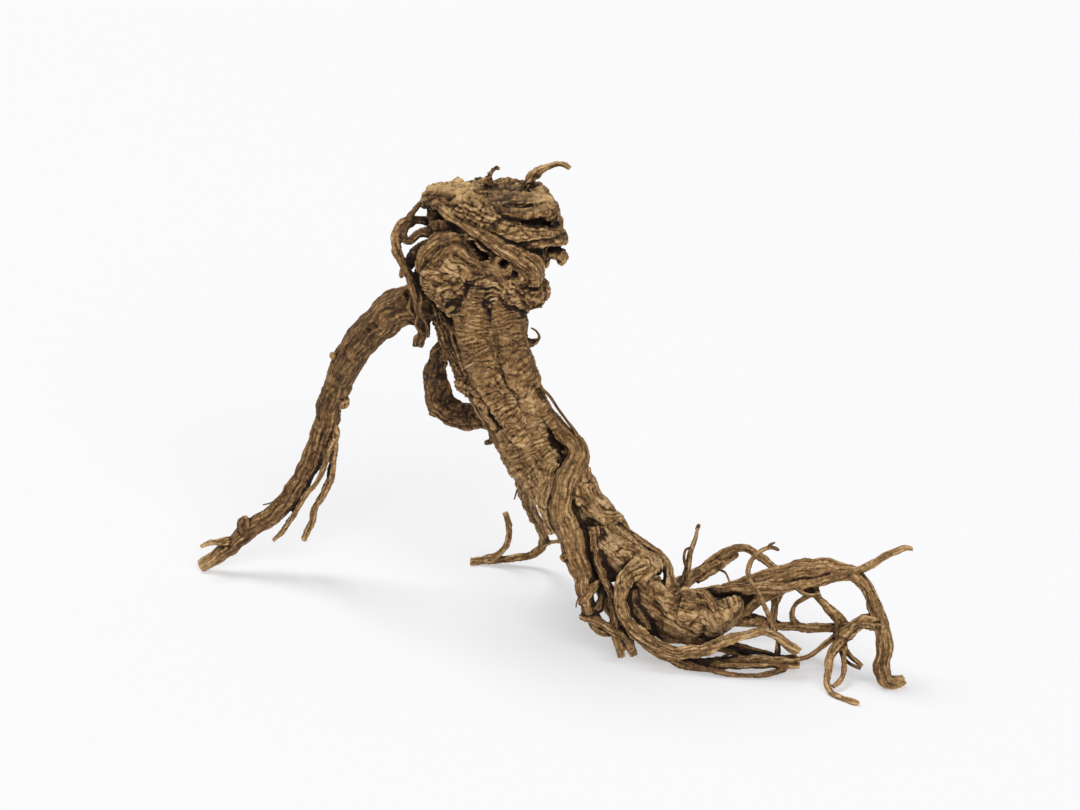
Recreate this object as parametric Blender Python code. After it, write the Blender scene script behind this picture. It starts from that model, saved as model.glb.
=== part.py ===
"""A dried root, standing on the tips of its side roots: one grown piece, in metres, +Z up.

Its crown, taproot and side roots are swept along routes and joined by one union. Every route is measured in
millimetres on a sheet that faces the viewer, who looks down at it by VIEW_TILT: across to the right, up the
sheet, then how far the point lies behind the front contact with the floor, and the radius there.
"""

import math

import bmesh
import bpy
from mathutils import Vector

MM = 0.001
NODE = "root"

# The viewer and the sheet
VIEW_TILT = math.radians(17)
EYE_DISTANCE = 892.0
SHEET_MIDDLE = 93.45

# The middle of the whole root, moved onto the part's origin
MIDDLE_ACROSS = -2.3
MIDDLE_DEPTH = 39.3

# How finely a root is built: a new ring where it has turned, thickened or run on this far
CURVE_SAMPLES = 16
SIDES_BY_RADIUS = ((1.9, 5), (3.4, 6), (5.2, 7), (9.0, 10), (13.0, 13), (99.0, 18))
MOST_TURN = math.radians(30)
MOST_SWELL = 0.16
SHORTEST_STEP = 1.6
LONGEST_STEP = 10.0

# How far a root's section departs from a circle, as a share of its radius, by count of lobes
LOBES = ((2, 0.07), (3, 0.05), (5, 0.03))
LOBE_TWIST = 0.05

FLOOR_DEPTH = 60.0
FLOOR_SIZE = 600.0

BARK_COLOUR = (0.27, 0.165, 0.085, 1.0)
BARK_ROUGHNESS = 0.85
SHARP_ANGLE = math.radians(50)

# The crown: blocks of old stem with a broken top, the folds around them and the shoulders below
CROWN = {
    "crown_core": [(-18, 138, 65, 18.5), (-17, 149, 66, 20), (-16.5, 158, 66, 20.5),
                   (-16.5, 164, 67, 19.5), (-17, 167.5, 67, 17)],
    "cut_block": [(-29, 154, 60, 9), (-30, 161, 59, 10), (-30.5, 167, 58, 9.8),
                  (-30.5, 170.5, 58, 8.6)],
    "right_block": [(-6, 152, 58, 10), (-4.5, 159, 58, 10.5), (-4, 164, 58, 10), (-4, 167, 58, 8.6)],
    "back_block": [(-17, 158, 76, 12), (-17, 166, 77, 11.5), (-17, 170.5, 77, 9.5)],
    "rim_front": [(-39.5, 163, 68, 2.2), (-38.5, 165, 56, 2.6), (-31, 165.5, 49, 2.7),
                  (-23, 162.5, 45.5, 3), (-13, 160, 43, 2.9), (-2, 160.5, 45, 2.8), (3, 162, 54, 2.6),
                  (4, 164, 64, 2)],
    "fold_upper": [(-28, 160, 48, 2.4), (-19, 156.8, 44, 2.9), (-8, 155.5, 42, 3),
                   (2, 155.2, 46, 2.9), (6.2, 155.7, 56, 2.4), (4, 158, 68, 2)],
    "fold_lower": [(-15, 152.5, 46, 2.4), (-5, 151.3, 43.5, 2.9), (3.5, 151, 48, 3),
                   (7.8, 152.5, 57, 2.6), (7, 155, 68, 2)],
    "flap": [(2, 149, 56, 3), (6.4, 146.8, 56, 2.9), (7.4, 143, 56, 1.8)],
    "rim_back": [(3, 164, 70, 2), (0, 167, 83, 2.8), (-12, 169.4, 91, 3), (-26, 169.8, 90, 3.1),
                 (-37, 167.5, 78, 2.6)],
    "fold_back": [(5, 156, 66, 2), (2, 160, 82, 3), (-10, 162, 91, 3.2), (-25, 162, 90, 3),
                  (-37, 159, 76, 2.4)],
    "shoulder_back": [(2, 146, 70, 4), (-6, 149, 82, 5), (-20, 150, 86, 5.5), (-34, 147, 78, 4.5)],
    "crossing_stem": [(-37.5, 165, 54, 1.5), (-32, 161, 49, 1.9), (-26, 156.5, 45, 2.3),
                      (-19, 152.5, 42.5, 2.9), (-11.5, 148, 42, 3.6), (-5, 143.5, 43, 4.1),
                      (-2, 138.5, 46, 4), (-5, 134, 51, 3)],
    "left_swelling": [(-33, 147, 60, 7), (-32.5, 139, 55, 8.6), (-30.5, 132.5, 55, 7.4),
                      (-28, 128, 58, 4.5)],
    "right_swelling": [(-8, 145, 58, 9), (-8.5, 137, 56, 9), (-9, 131, 57, 7.5)],
    "right_knob": [(-6, 138, 54, 4), (-1.5, 133.5, 54, 3.4), (-2, 130, 55, 2.4)],
    "shoulder_fold": [(-38, 136, 58, 3), (-41.3, 141.5, 55, 2.8), (-40.5, 147.5, 52, 2.8),
                      (-36, 151.5, 49.5, 2.5), (-30, 153, 47.5, 2.2), (-24, 151.5, 48, 1.8)],
    "nested_fold": [(-37, 141, 52, 1.8), (-34.5, 146.5, 48, 2), (-30.5, 149.3, 46.5, 1.9),
                    (-26.5, 147.3, 46, 1.9), (-21.5, 144, 46.5, 1.9), (-15.5, 141.5, 47.5, 1.9)],
    "loop_root": [(-35, 156, 70, 1.6), (-41, 158, 68, 1.7), (-45.5, 157.7, 65, 1.7),
                  (-49, 155.7, 62, 1.7), (-50.6, 152, 60, 1.7), (-49.6, 147, 58, 1.8),
                  (-47.4, 142, 57, 1.9), (-45, 136.5, 56, 2.1), (-43.3, 130, 58, 1.9),
                  (-41.6, 124, 61, 1.6), (-41, 119, 63, 1.6), (-41.3, 113, 64, 1.8)],
    "inner_loop": [(-36, 154, 56, 1.5), (-42, 153.5, 56, 1.5), (-45.5, 150.5, 57, 1.6),
                   (-47.7, 152, 59, 1.3), (-47.3, 155.3, 62, 1.2), (-44.5, 157.8, 65, 1.2)],
    "loop_twig": [(-46.8, 157.5, 64, 1.1), (-44.5, 161, 64, 0.95), (-41.8, 164.3, 64, 0.8)],
    "side_stub": [(-38, 148, 62, 3), (-43, 146, 62, 2.8), (-46.5, 142, 62, 2), (-49, 138.3, 63, 1.1)],
    "strap_root": [(-40, 148, 58, 1.8), (-43.5, 141, 57, 1.7), (-43, 133, 57, 1.6),
                   (-40.5, 126, 58, 1.6), (-37.5, 119, 60, 1.5), (-35, 112, 60, 1.4)],
    "top_twig": [(-18, 170, 74, 1.2), (-17, 174.5, 74, 1), (-15.6, 177.2, 74, 0.8),
                 (-14.6, 175.8, 72, 0.6)],
    "top_root": [(-7, 168, 70, 1.6), (-4, 172, 70, 1.4), (0, 175.3, 70, 1.25), (5, 177.6, 69, 1.15),
                 (8.5, 177.7, 68, 1.05), (10.6, 176.5, 67, 0.85)],
}

# The taproot, from the crown down to its blunt twisted end, and the ribs that it has grown
TAPROOT = {
    "taproot": [(-18.5, 142, 65, 16), (-18.8, 130, 64, 15.3), (-18.5, 120, 61.5, 13.6),
                (-17, 110, 58.5, 12.3), (-13, 100, 55, 11.2), (-9, 91, 51, 10.4), (-4.7, 80, 46, 9),
                (1, 70.8, 41, 8.6), (7.5, 62, 36.5, 8), (15.5, 53, 32, 7.4), (23, 44.5, 28, 7),
                (31, 36.5, 24, 6.4), (37.5, 29, 20, 5.8), (44, 23.5, 16.5, 6.6), (51, 20, 14, 7.6),
                (58, 18.8, 13, 6.8), (63.5, 20.5, 13, 4.8), (67, 24, 13, 3.4)],
    "middle_rib": [(-27, 138, 56, 5), (-25.5, 128, 51.5, 5), (-24, 119, 49.5, 4.8),
                   (-21.5, 110, 48, 4.8), (-17.5, 101.5, 45.5, 4.6), (-13, 93.5, 42.5, 4.3),
                   (-8, 85, 40, 3.6), (-3, 76, 38, 3)],
    "right_rib": [(-13, 136, 54, 5.5), (-11.8, 124, 50, 5.8), (-10, 114, 48.5, 5.6),
                  (-7.2, 105, 47.5, 5.2), (-3.2, 96.5, 46.5, 4.5)],
    "left_rib": [(-35, 134, 62, 4.5), (-33.2, 123, 61, 4.4), (-30.3, 113.5, 58.5, 3.9),
                 (-25.8, 103, 54.5, 3.5), (-20.8, 94.5, 51, 3.1), (-15.3, 86, 47.5, 2.9),
                 (-9.6, 77, 43.5, 2.6), (-5.4, 69.5, 40, 2.2), (-1.5, 62.5, 37, 2)],
    "back_rib": [(-22, 146, 82, 5.5), (-24, 132, 79, 5.5), (-22, 119, 74, 5), (-18, 107, 69, 4.5),
                 (-12, 96, 64, 4), (-6, 86, 58.5, 3.5), (1, 76, 52, 3)],
    "far_rib": [(-9, 148, 82, 5), (-9.5, 134, 78, 5), (-10, 121, 73, 5), (-8.8, 109, 67, 4.5),
                (-4.8, 98.5, 61, 4), (1.5, 88, 54, 3.5), (8, 79, 47, 3.2)],
    "rib_knob": [(-24, 100, 52, 2.6), (-27.3, 100.2, 52.5, 2.7), (-28.5, 98.6, 52.5, 1.4)],
    "edge_knob": [(-7, 115, 54, 2.4), (-2.5, 115, 55, 1.9), (-1, 116.8, 55, 1.1)],
    "low_hook": [(-15, 86, 50, 1.9), (-16.3, 83, 51, 1.3), (-17, 80.8, 52, 1.1),
                 (-19.6, 80, 52.5, 0.8)],
    "blunt_lobe": [(49, 24, 11, 5), (57, 22.5, 9.5, 4.6), (62, 18, 9, 4.2), (60, 13.8, 10, 3)],
    "end_lobe": [(58, 17, 9, 4), (64, 17.5, 9, 3.8), (68, 22.3, 10.5, 3.6), (67.3, 26, 12.5, 2.4)],
}

# The long side root that carries the left end
LEG = {
    "leg": [(-30, 129, 70, 7), (-40, 129.5, 74, 7), (-48, 128, 76, 6.8), (-56, 122.7, 79, 6.3),
            (-63, 115.5, 82, 5.8), (-67.8, 107.3, 84.5, 5.2), (-70.9, 100, 86.5, 4.7),
            (-73.5, 93, 88.5, 4.3), (-75.6, 85, 90.5, 4.2), (-78, 77.5, 92.5, 3.9),
            (-82, 70, 94.5, 3.7), (-87, 62, 96.5, 3.8), (-92, 56.7, 98, 3.6), (-97.5, 52.7, 99, 3.6),
            (-102.3, 49.4, 99.5, 3.5), (-106.5, 45.8, 99.5, 3), (-110.5, 42.7, 99.5, 2.8),
            (-114.5, 39.7, 99.8, 2.6), (-118.6, 36.9, 100, 2.4)],
    "leg_stem": [(-74.5, 91, 88, 1.8), (-72.3, 86, 88, 1.5), (-71.6, 81, 88.5, 1.5),
                 (-72.2, 75.5, 89.5, 1.6), (-73.2, 68, 91.5, 1.7), (-76, 62, 93.5, 1.6),
                 (-78.7, 57.5, 95, 1.35), (-79.8, 52.5, 97, 1.4), (-82.7, 46.2, 99, 1.5)],
    "leg_twig": [(-72, 82, 88.5, 1.3), (-74.3, 77, 88, 1.4), (-75.6, 72, 88.5, 1.15),
                 (-78, 66.7, 90, 1.15), (-82, 61.5, 92, 1.1), (-86, 55.3, 95, 1.25),
                 (-89.5, 50.3, 98, 1.3), (-93.3, 46, 101, 1)],
    "leg_prong": [(-107, 46, 99.5, 1.5), (-112, 45.4, 97, 1.1), (-116, 45.1, 95, 0.9),
                  (-118.8, 43.8, 94, 0.7)],
    "leg_knob": [(-71, 97, 87, 2.5), (-68.8, 94.5, 86, 2.2), (-68.8, 92.2, 86, 1.3)],
    "leg_spur": [(-69, 109.5, 83, 2), (-72, 110.6, 82, 1.2), (-73.6, 111.3, 82, 0.6)],
    "leg_ridge": [(-45, 131, 71, 4), (-54, 126.7, 74.5, 3), (-61, 119.5, 77.5, 2.8),
                  (-66.5, 111, 80.5, 2.6), (-70.5, 102.5, 83.5, 2.2), (-74, 94, 86, 2)],
}

# The bent root behind the taproot, and the thin hooked one that reaches the floor behind it
BEHIND = {
    "elbow": [(-31, 115.5, 66, 3.4), (-35.2, 111, 70, 3.6), (-36.4, 105, 73, 3.9),
              (-36, 98.5, 75, 4.4), (-33.4, 93, 75.5, 4.8), (-28, 90, 73, 4.6),
              (-21.5, 89.2, 67, 4.1), (-14, 88.5, 58, 3.6)],
    "elbow_spur": [(-36, 93, 75.5, 2.4), (-37, 89.5, 76, 1.2)],
    "back_arch": [(-20, 150, 84, 4), (-17, 141, 93, 3.7), (-15, 129, 95.5, 3.3), (-16, 117, 90, 3),
                  (-17, 107, 81, 2.8), (-14, 98, 70, 2.6)],
    "hook_root": [(-6, 72, 52, 2.2), (-5.9, 66, 58, 2), (-5, 60.5, 67, 1.9), (-2.3, 55, 79, 1.8),
                  (0.4, 49.5, 89, 1.7), (1.1, 44.5, 98, 1.6), (-2.5, 41.2, 103.5, 1.55),
                  (-10, 39.9, 106, 1.5), (-18, 39, 107, 1.5), (-24.5, 38.6, 106.5, 1.5)],
    "hook_twin": [(-3, 69, 50, 1.5), (-3, 63, 58, 1.2), (-2.2, 57, 70, 1.1), (0.3, 51.5, 84, 1.1),
                  (1.7, 47, 94, 1.1)],
    "hook_branch": [(-19, 39.2, 107, 1.3), (-15.5, 40.6, 105.5, 1.2), (-12.3, 43.5, 104, 1.25),
                    (-10.8, 48, 103, 1.3), (-11, 52.5, 103, 1.25), (-12.2, 56, 103, 1.1)],
    "hook_link": [(0.5, 45, 97.5, 1), (4, 45.4, 91, 0.75), (8, 46, 70, 0.8), (11, 48, 48, 0.9),
                  (13, 51, 34, 1)],
}

# The roots that cross and wind about the lower taproot
BRAID = {
    "crossing_root": [(-9, 112, 52, 4), (-5.6, 103.5, 50, 4.1), (-0.8, 94.5, 48.5, 4.1),
                      (6.3, 85, 45, 4.2), (12.6, 77.5, 38, 4.4), (11.3, 70.5, 31, 4.2),
                      (8, 64, 27, 4), (6.8, 56.5, 24.5, 3.8), (8.6, 49.5, 22.5, 4),
                      (12, 42, 20.5, 4.1), (15, 34, 18.5, 3.6), (16.2, 27.5, 17, 3.1),
                      (17.8, 21, 16, 2.7), (20.5, 15.8, 15.5, 2.4), (25.5, 14, 15, 2)],
    "bypass_root": [(9, 79, 40, 3.4), (13.2, 69.5, 37, 3.2), (17, 63.3, 35.5, 3.1),
                    (21.7, 58.2, 34, 3), (27, 53, 32.5, 2.5), (31.7, 48.2, 31, 2.1),
                    (37.3, 44, 29.5, 2), (42, 40.6, 27, 2), (44.6, 36.5, 23, 2), (45, 31.5, 19, 1.9),
                    (44.5, 26, 16, 1.8)],
    "inner_fold": [(9, 69, 30, 3.2), (12.5, 63.5, 28.5, 2.9), (16.5, 58.5, 28, 2.5),
                   (20.5, 54.8, 28, 2.3), (24.5, 53.6, 29, 2.3), (27.6, 54.2, 31, 1.8)],
    "outer_fold": [(13.5, 70, 33, 2.8), (17, 65.5, 31.5, 2.4), (20, 60.5, 31, 2.2),
                   (23.5, 57.5, 31, 2)],
    "curl_root": [(41, 38, 26, 3), (36.5, 36.8, 19.5, 3.2), (32, 34.8, 15, 3.1), (28.9, 31, 12, 2.9),
                  (28.3, 26, 10, 2.7), (29, 21.3, 8.5, 2.6), (31.3, 17, 7, 2.5), (35, 12.8, 5, 2.5),
                  (40, 9.3, 3, 2.4), (46, 7, 1.5, 2.4), (53, 7, 0.5, 2.3), (60, 8.8, 0, 2.1),
                  (66, 10.9, -1, 2), (72, 12.9, -2, 1.9), (78, 13.8, -3, 1.9), (83, 12.6, -3, 1.9),
                  (87, 9.3, -3, 1.9), (90.7, 7, -3, 1.7)],
    "prop_root": [(19, 51, 26, 1.5), (19.5, 44.5, 22.5, 1.7), (20, 38.5, 19, 1.8),
                  (22, 33.2, 16.5, 1.8), (25, 27.8, 14.5, 1.8), (26.5, 22, 13, 1.8),
                  (26.2, 16, 12, 1.8), (27.2, 10.5, 12, 1.8), (28.6, 5.2, 12.6, 1.8)],
    "cross_strap": [(14.5, 20, 16, 1.8), (18.5, 18.4, 13.5, 1.5), (23, 16.3, 12, 1.4),
                    (27, 13.5, 11.5, 1.4)],
    "foot_root": [(24, 17, 14, 2), (29, 13, 12, 2), (31.5, 9.5, 12.5, 2), (33, 6, 14.3, 1.8)],
    "side_strut": [(14.5, 24, 17, 1.4), (17, 27.5, 15.5, 1.3), (20.5, 32, 16.5, 1.2)],
    "inner_strut": [(17.5, 22, 17, 1.5), (20, 22.5, 16, 1.5), (22.5, 28, 17, 1.4), (24, 34, 19, 1.4)],
    "side_nub": [(11.5, 40, 20.5, 2.4), (9, 39.4, 20.5, 1.9), (8.7, 38.2, 20.5, 1)],
    "wall_root": [(12, 56, 30, 5), (15.5, 47.5, 27, 4.6), (18.5, 40, 25, 3.8), (20, 33, 23, 2.8),
                  (24.5, 26, 20, 2)],
    "back_strand": [(31, 41, 31, 2.6), (38, 33, 30, 2.4), (41, 24, 30, 2.6), (43.7, 17.8, 28, 2.6),
                    (48, 13.2, 25, 2.4), (53, 11, 21, 2.2), (60, 9.2, 16, 2), (67, 7.5, 11, 1.7),
                    (74, 5.8, 7, 1.5)],
    "rear_wrap": [(26, 46, 34, 2.6), (22, 37, 36, 2.6), (22, 28, 36, 2.4), (26, 20, 33, 2.2),
                  (32, 15, 26, 2), (37, 12.6, 17, 1.9), (39, 11.3, 9, 1.8)],
    "strand_tie": [(32, 29, 17, 2.6), (33, 23, 15, 2.6), (35.8, 18, 12, 2.2), (37.5, 14, 7.5, 1.6)],
}

# The tangle at the right, with the root whose tip rests furthest forward
TANGLE = {
    "bottom_root": [(33, 14.5, 7, 2), (39, 9.5, 5, 2.1), (45, 5.6, 3.6, 2.3), (52, 2.8, 2.6, 2.4),
                    (60, 2.7, 2.2, 2.5), (70, 3.6, 1, 2.2), (80, 4.2, -1, 2), (91, 4, -1, 1.6)],
    "bottom_twin": [(62, 2.6, -2, 1.4), (72, 2.4, -3, 1.2), (82, 2.2, -3, 1.1), (91, 1.9, -3, 1)],
    "floor_root": [(52, 2.4, -1, 1.6), (60, 0.4, -4, 1.4), (68, -1.1, -5.5, 1.1), (76, -1.3, -6, 1.1),
                   (82, -0.3, -5.5, 1.2), (86, 1.3, -3.5, 1.2)],
    "under_root": [(57, 11, 8, 1.6), (64, 9.8, 6, 1.4), (70, 8.7, 5, 1.3), (77, 7, 4, 1.2),
                   (84, 5.2, 3, 1.1), (90, 5.2, 1, 1)],
    "drop_root": [(83.6, 13, -2, 1), (83.3, 9, 0, 0.9), (83, 4.5, 0, 0.9)],
    "bridge": [(57, 20, 17, 6), (64, 22, 20, 5.6), (71, 24.5, 21, 4.8), (78, 28, 19, 3.8),
               (86, 32, 15, 2.8)],
    "big_root": [(56, 24.5, 20, 3.2), (65, 27.5, 20, 3.2), (74, 30.7, 18, 3.2), (83, 33.2, 15.5, 3.2),
                 (91, 35.5, 12.5, 3.2), (98, 37, 9.5, 3), (104.5, 36.3, 5.5, 2.6),
                 (110, 34, 1.5, 2.5), (114.3, 29.7, -3, 2.6), (117, 24.5, -6.5, 2.6),
                 (119, 18.5, -9, 2.6), (120.3, 12, -11, 2.5), (120.6, 5.5, -13, 2.4),
                 (120, 0.3, -14, 2.4), (120.3, -3.7, -14, 2.1), (124, -4, -13, 1.8),
                 (127.8, -2.8, -11.5, 1.2)],
    "big_twin": [(118.5, 24.5, -8, 1.2), (119.8, 20.5, -9.5, 1.4), (121.3, 14, -11, 1.4),
                 (121.8, 8, -12.5, 1.3)],
    "middle_root": [(62, 26.5, 20, 2.2), (72, 29, 17, 2.4), (82, 31.5, 14, 2.3),
                    (92, 33.7, 10.5, 2.3), (101, 35, 6.5, 2.1), (110, 35, 1.5, 1.8)],
    "reach_root": [(50, 26, 19, 1.6), (57, 27.8, 18, 1.6), (64, 28.9, 15.5, 1.7), (72, 29.4, 13, 1.9),
                   (82, 29.4, 10, 2), (92, 30.7, 7, 2.1), (101, 32.6, 4, 1.9), (110, 35, 0.5, 1.6),
                   (117, 38.4, -2, 1.4), (123, 41.6, -3, 1.3), (127.5, 43.4, -3, 1.15),
                   (130.6, 43, -3, 0.8)],
    "floor_beam": [(62, 19.5, 18, 3), (70, 19, 21, 2.6), (78, 17.3, 21, 2), (88, 16, 18, 1.8),
                   (97, 15.5, 12, 1.7), (104.5, 15.3, 4, 1.6)],
    "branch_root": [(96, 32, 8.5, 1.8), (96.8, 27.2, 8, 1.6), (100.5, 22.7, 6, 1.7),
                    (104.6, 19, 3.5, 1.9), (106.2, 15, 1.5, 2.2), (105.2, 11.5, 0, 1.8),
                    (102.9, 8, -4, 1.5), (101.3, 4, -8, 1.4), (100.6, -1, -13.5, 1.4),
                    (100.9, -5.7, -18.5, 1.3), (102.4, -7.9, -21.5, 1.2), (106, -9.3, -25, 1.15),
                    (109.5, -10.4, -28, 1.2), (111.8, -11, -29.5, 0.8)],
    "branch_bridge": [(105.4, 12.3, 1, 1.6), (108.2, 15, -1, 2), (111.7, 17, -4.5, 2.2),
                      (115.3, 17.7, -8, 2.3), (119, 17, -10, 2)],
    "branch_loop": [(105.8, 11, 0.5, 1.3), (106.4, 5.5, -5, 1.1), (106.3, 0, -10.5, 1),
                    (105, -3, -14, 0.95), (102.5, -5.2, -17.5, 0.8)],
    "branch_twig": [(105.8, 9, -1, 1), (108.5, 5.8, -3, 0.95), (111, 3.7, -5, 0.9),
                    (112.9, 2.1, -6, 0.8)],
    "branch_back": [(105, 13.5, 2, 1.2), (100.5, 10.3, 4, 1), (97, 7.3, 4.5, 0.95), (93, 4.9, 3, 0.9),
                    (88, 4, 0, 0.9)],
    "window_root": [(96.5, 30, 8, 1.3), (93.5, 26.5, 9.5, 1.1), (90, 24, 12, 1), (88.2, 20.8, 15, 1),
                    (89, 17.5, 17.5, 1.1), (92.5, 15, 16.5, 1.2)],
    "window_spur": [(90.5, 29.5, 7.5, 1.2), (93.5, 27.5, 7, 1), (97.5, 27.5, 7.8, 1.2)],
    "front_tendril": [(82, 43.6, 8, 0.7), (79, 43.2, 9, 0.9), (76, 41.3, 9, 1.05), (74, 38.7, 8.5, 1),
                      (73, 35.5, 7.5, 0.95), (73.8, 32.2, 6.5, 0.9), (76, 28, 5, 0.95),
                      (78.3, 23.5, 3, 1), (80.3, 18.7, 0.5, 1.05), (82, 14, -2, 1.1)],
    "back_arm": [(42, 26, 22, 3), (47.5, 30, 30, 2.8), (53, 33.2, 37, 2.5), (58, 36.5, 42, 2.2),
                 (63, 40.3, 44, 1.8), (68.8, 43.2, 42, 1.45), (74, 42.4, 37, 1.4),
                 (78, 39.8, 31, 1.4), (81, 37, 24, 1.4), (84, 34, 17, 1.3)],
    "back_stub": [(54, 33, 38, 2), (60, 36.8, 42, 2), (65, 39.3, 45.5, 1.8), (69, 41.2, 48.5, 1.5)],
    "upright_twig": [(49.5, 29, 29, 1.4), (51.5, 34, 30, 1.35), (52.3, 40, 31, 1.2),
                     (53.8, 45, 32, 1), (55.3, 50.5, 33, 0.7)],
    "rear_link": [(84, 31, 15, 1.4), (82.8, 25, 18.5, 1.35), (81.3, 17.5, 20.5, 1.3)],
    "over_strap": [(50, 27, 15, 1.3), (55.5, 27.6, 12, 1.3), (59, 25.5, 8.5, 1.3),
                   (61.5, 21.5, 6.5, 1.1)],
}

PARTS = (CROWN, TAPROOT, LEG, BEHIND, BRAID, TANGLE)


def placed(across, up, depth):
    """The point, in millimetres, that shows at (across, up) on the sheet and lies that far back, and the
    scale there: what lies behind the sheet is larger than it shows."""
    lean, stand = math.sin(VIEW_TILT), math.cos(VIEW_TILT)
    eye = Vector((0, SHEET_MIDDLE * lean - EYE_DISTANCE * stand,
                  SHEET_MIDDLE * stand + EYE_DISTANCE * lean))
    shown = Vector((across, up * lean, up * stand))
    reach = (depth - eye.y) / (shown.y - eye.y)
    point = eye + (shown - eye) * reach
    return point - Vector((MIDDLE_ACROSS, MIDDLE_DEPTH, 0)), reach


def spline(stations):
    """Closely spaced points and radii on a smooth curve through the stations."""
    knots = []
    for across, up, depth, radius in stations:
        point, scale = placed(across, up, depth)
        knots.append((point, radius * scale))
    knots = [(2 * knots[0][0] - knots[1][0], knots[0][1])] + knots
    knots.append((2 * knots[-1][0] - knots[-2][0], knots[-1][1]))
    fine = []
    for i in range(1, len(knots) - 2):
        (p0, r0), (p1, r1), (p2, r2), (p3, r3) = knots[i - 1:i + 3]
        for k in range(CURVE_SAMPLES):
            t = k / CURVE_SAMPLES
            w0 = 0.5 * (-t + 2 * t**2 - t**3)
            w1 = 0.5 * (2 - 5 * t**2 + 3 * t**3)
            w2 = 0.5 * (t + 4 * t**2 - 3 * t**3)
            w3 = 0.5 * (-t**2 + t**3)
            fine.append((p0 * w0 + p1 * w1 + p2 * w2 + p3 * w3, r0 * w0 + r1 * w1 + r2 * w2 + r3 * w3))
    fine.append(knots[-2])
    return fine


def spaced(fine):
    """The points of the curve that begin a new ring: few along a straight run, more round a bend."""
    rings, heading, walked = [fine[0]], fine[1][0] - fine[0][0], 0.0
    for (last, _), (point, radius) in zip(fine, fine[1:]):
        walked += (point - last).length
        turned = (point - last).angle(heading)
        swollen = abs(radius - rings[-1][1]) / rings[-1][1]
        changed = turned > MOST_TURN or swollen > MOST_SWELL
        if (changed and walked > SHORTEST_STEP) or walked > LONGEST_STEP:
            rings.append((point, radius))
            heading, walked = point - last, 0.0
    if walked < SHORTEST_STEP and len(rings) > 1:
        rings.pop()
    return rings + [fine[-1]]


def swept(name, stations, phase):
    """A closed tube along the stations, with a lobed section and flat ends."""
    rings = spaced(spline(stations))
    widest = max(radius for _, radius in rings)
    sides = next(count for limit, count in SIDES_BY_RADIUS if widest < limit)
    mesh = bmesh.new()
    side_way = None
    loops = []
    walked = 0.0
    for i, (point, radius) in enumerate(rings):
        after, before = rings[min(i + 1, len(rings) - 1)][0], rings[max(i - 1, 0)][0]
        along = (after - before).normalized()
        if side_way is None:
            side_way = along.orthogonal().normalized()
        side_way = (side_way - along * side_way.dot(along)).normalized()
        other_way = along.cross(side_way)
        walked += (point - rings[max(i - 1, 0)][0]).length
        loop = []
        for k in range(sides):
            angle = 2 * math.pi * k / sides
            swell = 1 + sum(share * math.sin(count * angle + phase * count + LOBE_TWIST * walked)
                            for count, share in LOBES)
            out = side_way * math.cos(angle) + other_way * math.sin(angle)
            loop.append(mesh.verts.new((point + out * radius * swell) * MM))
        loops.append(loop)
    for low, high in zip(loops, loops[1:]):
        for k in range(sides):
            mesh.faces.new((low[k], low[(k + 1) % sides], high[(k + 1) % sides], high[k]))
    mesh.faces.new(reversed(loops[0]))
    mesh.faces.new(loops[-1])
    return finished(name, mesh)


def finished(name, mesh):
    data = bpy.data.meshes.new(name)
    mesh.to_mesh(data)
    mesh.free()
    return bpy.data.objects.new(name, data)


def bark():
    material = bpy.data.materials.new("bark")
    material.use_nodes = True
    shader = material.node_tree.nodes["Principled BSDF"]
    shader.inputs["Base Color"].default_value = BARK_COLOUR
    shader.inputs["Roughness"].default_value = BARK_ROUGHNESS
    return material


def apply_boolean(obj, operation, **operand):
    """Joins or cuts obj for good."""
    modifier = obj.modifiers.new(operation.lower(), "BOOLEAN")
    modifier.operation = operation
    for key, value in operand.items():
        setattr(modifier, key, value)
    bpy.context.view_layer.update()
    evaluated = obj.evaluated_get(bpy.context.evaluated_depsgraph_get())
    joined = bpy.data.meshes.new_from_object(evaluated)
    obj.modifiers.clear()
    obj.data = joined


def keep_outer_skin(data):
    """Fills the hollows that crossing roots seal, by keeping the outer skin alone."""
    mesh = bmesh.new()
    mesh.from_mesh(data)
    bmesh.ops.triangulate(mesh, faces=mesh.faces)
    skins, left = [], set(mesh.faces)
    while left:
        skin, reached = set(), [left.pop()]
        while reached:
            face = reached.pop()
            skin.add(face)
            plain = [edge for edge in face.edges if len(edge.link_faces) == 2]
            near = {other for edge in plain for other in edge.link_faces} & left
            left -= near
            reached.extend(near)
        skins.append(skin)
    outer = max(skins, key=len)
    inner = [face for skin in skins if skin is not outer for face in skin]
    bmesh.ops.delete(mesh, geom=inner, context="FACES")
    mesh.to_mesh(data)
    mesh.free()


def floor_block():
    """All that lies below the floor, to flatten the tips that the root rests on."""
    mesh = bmesh.new()
    bmesh.ops.create_cube(mesh, size=1)
    bmesh.ops.scale(mesh, vec=Vector((FLOOR_SIZE, FLOOR_SIZE, FLOOR_DEPTH)) * MM, verts=mesh.verts)
    bmesh.ops.translate(mesh, vec=Vector((0, 0, -FLOOR_DEPTH / 2)) * MM, verts=mesh.verts)
    return finished("floor_block", mesh)


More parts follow.
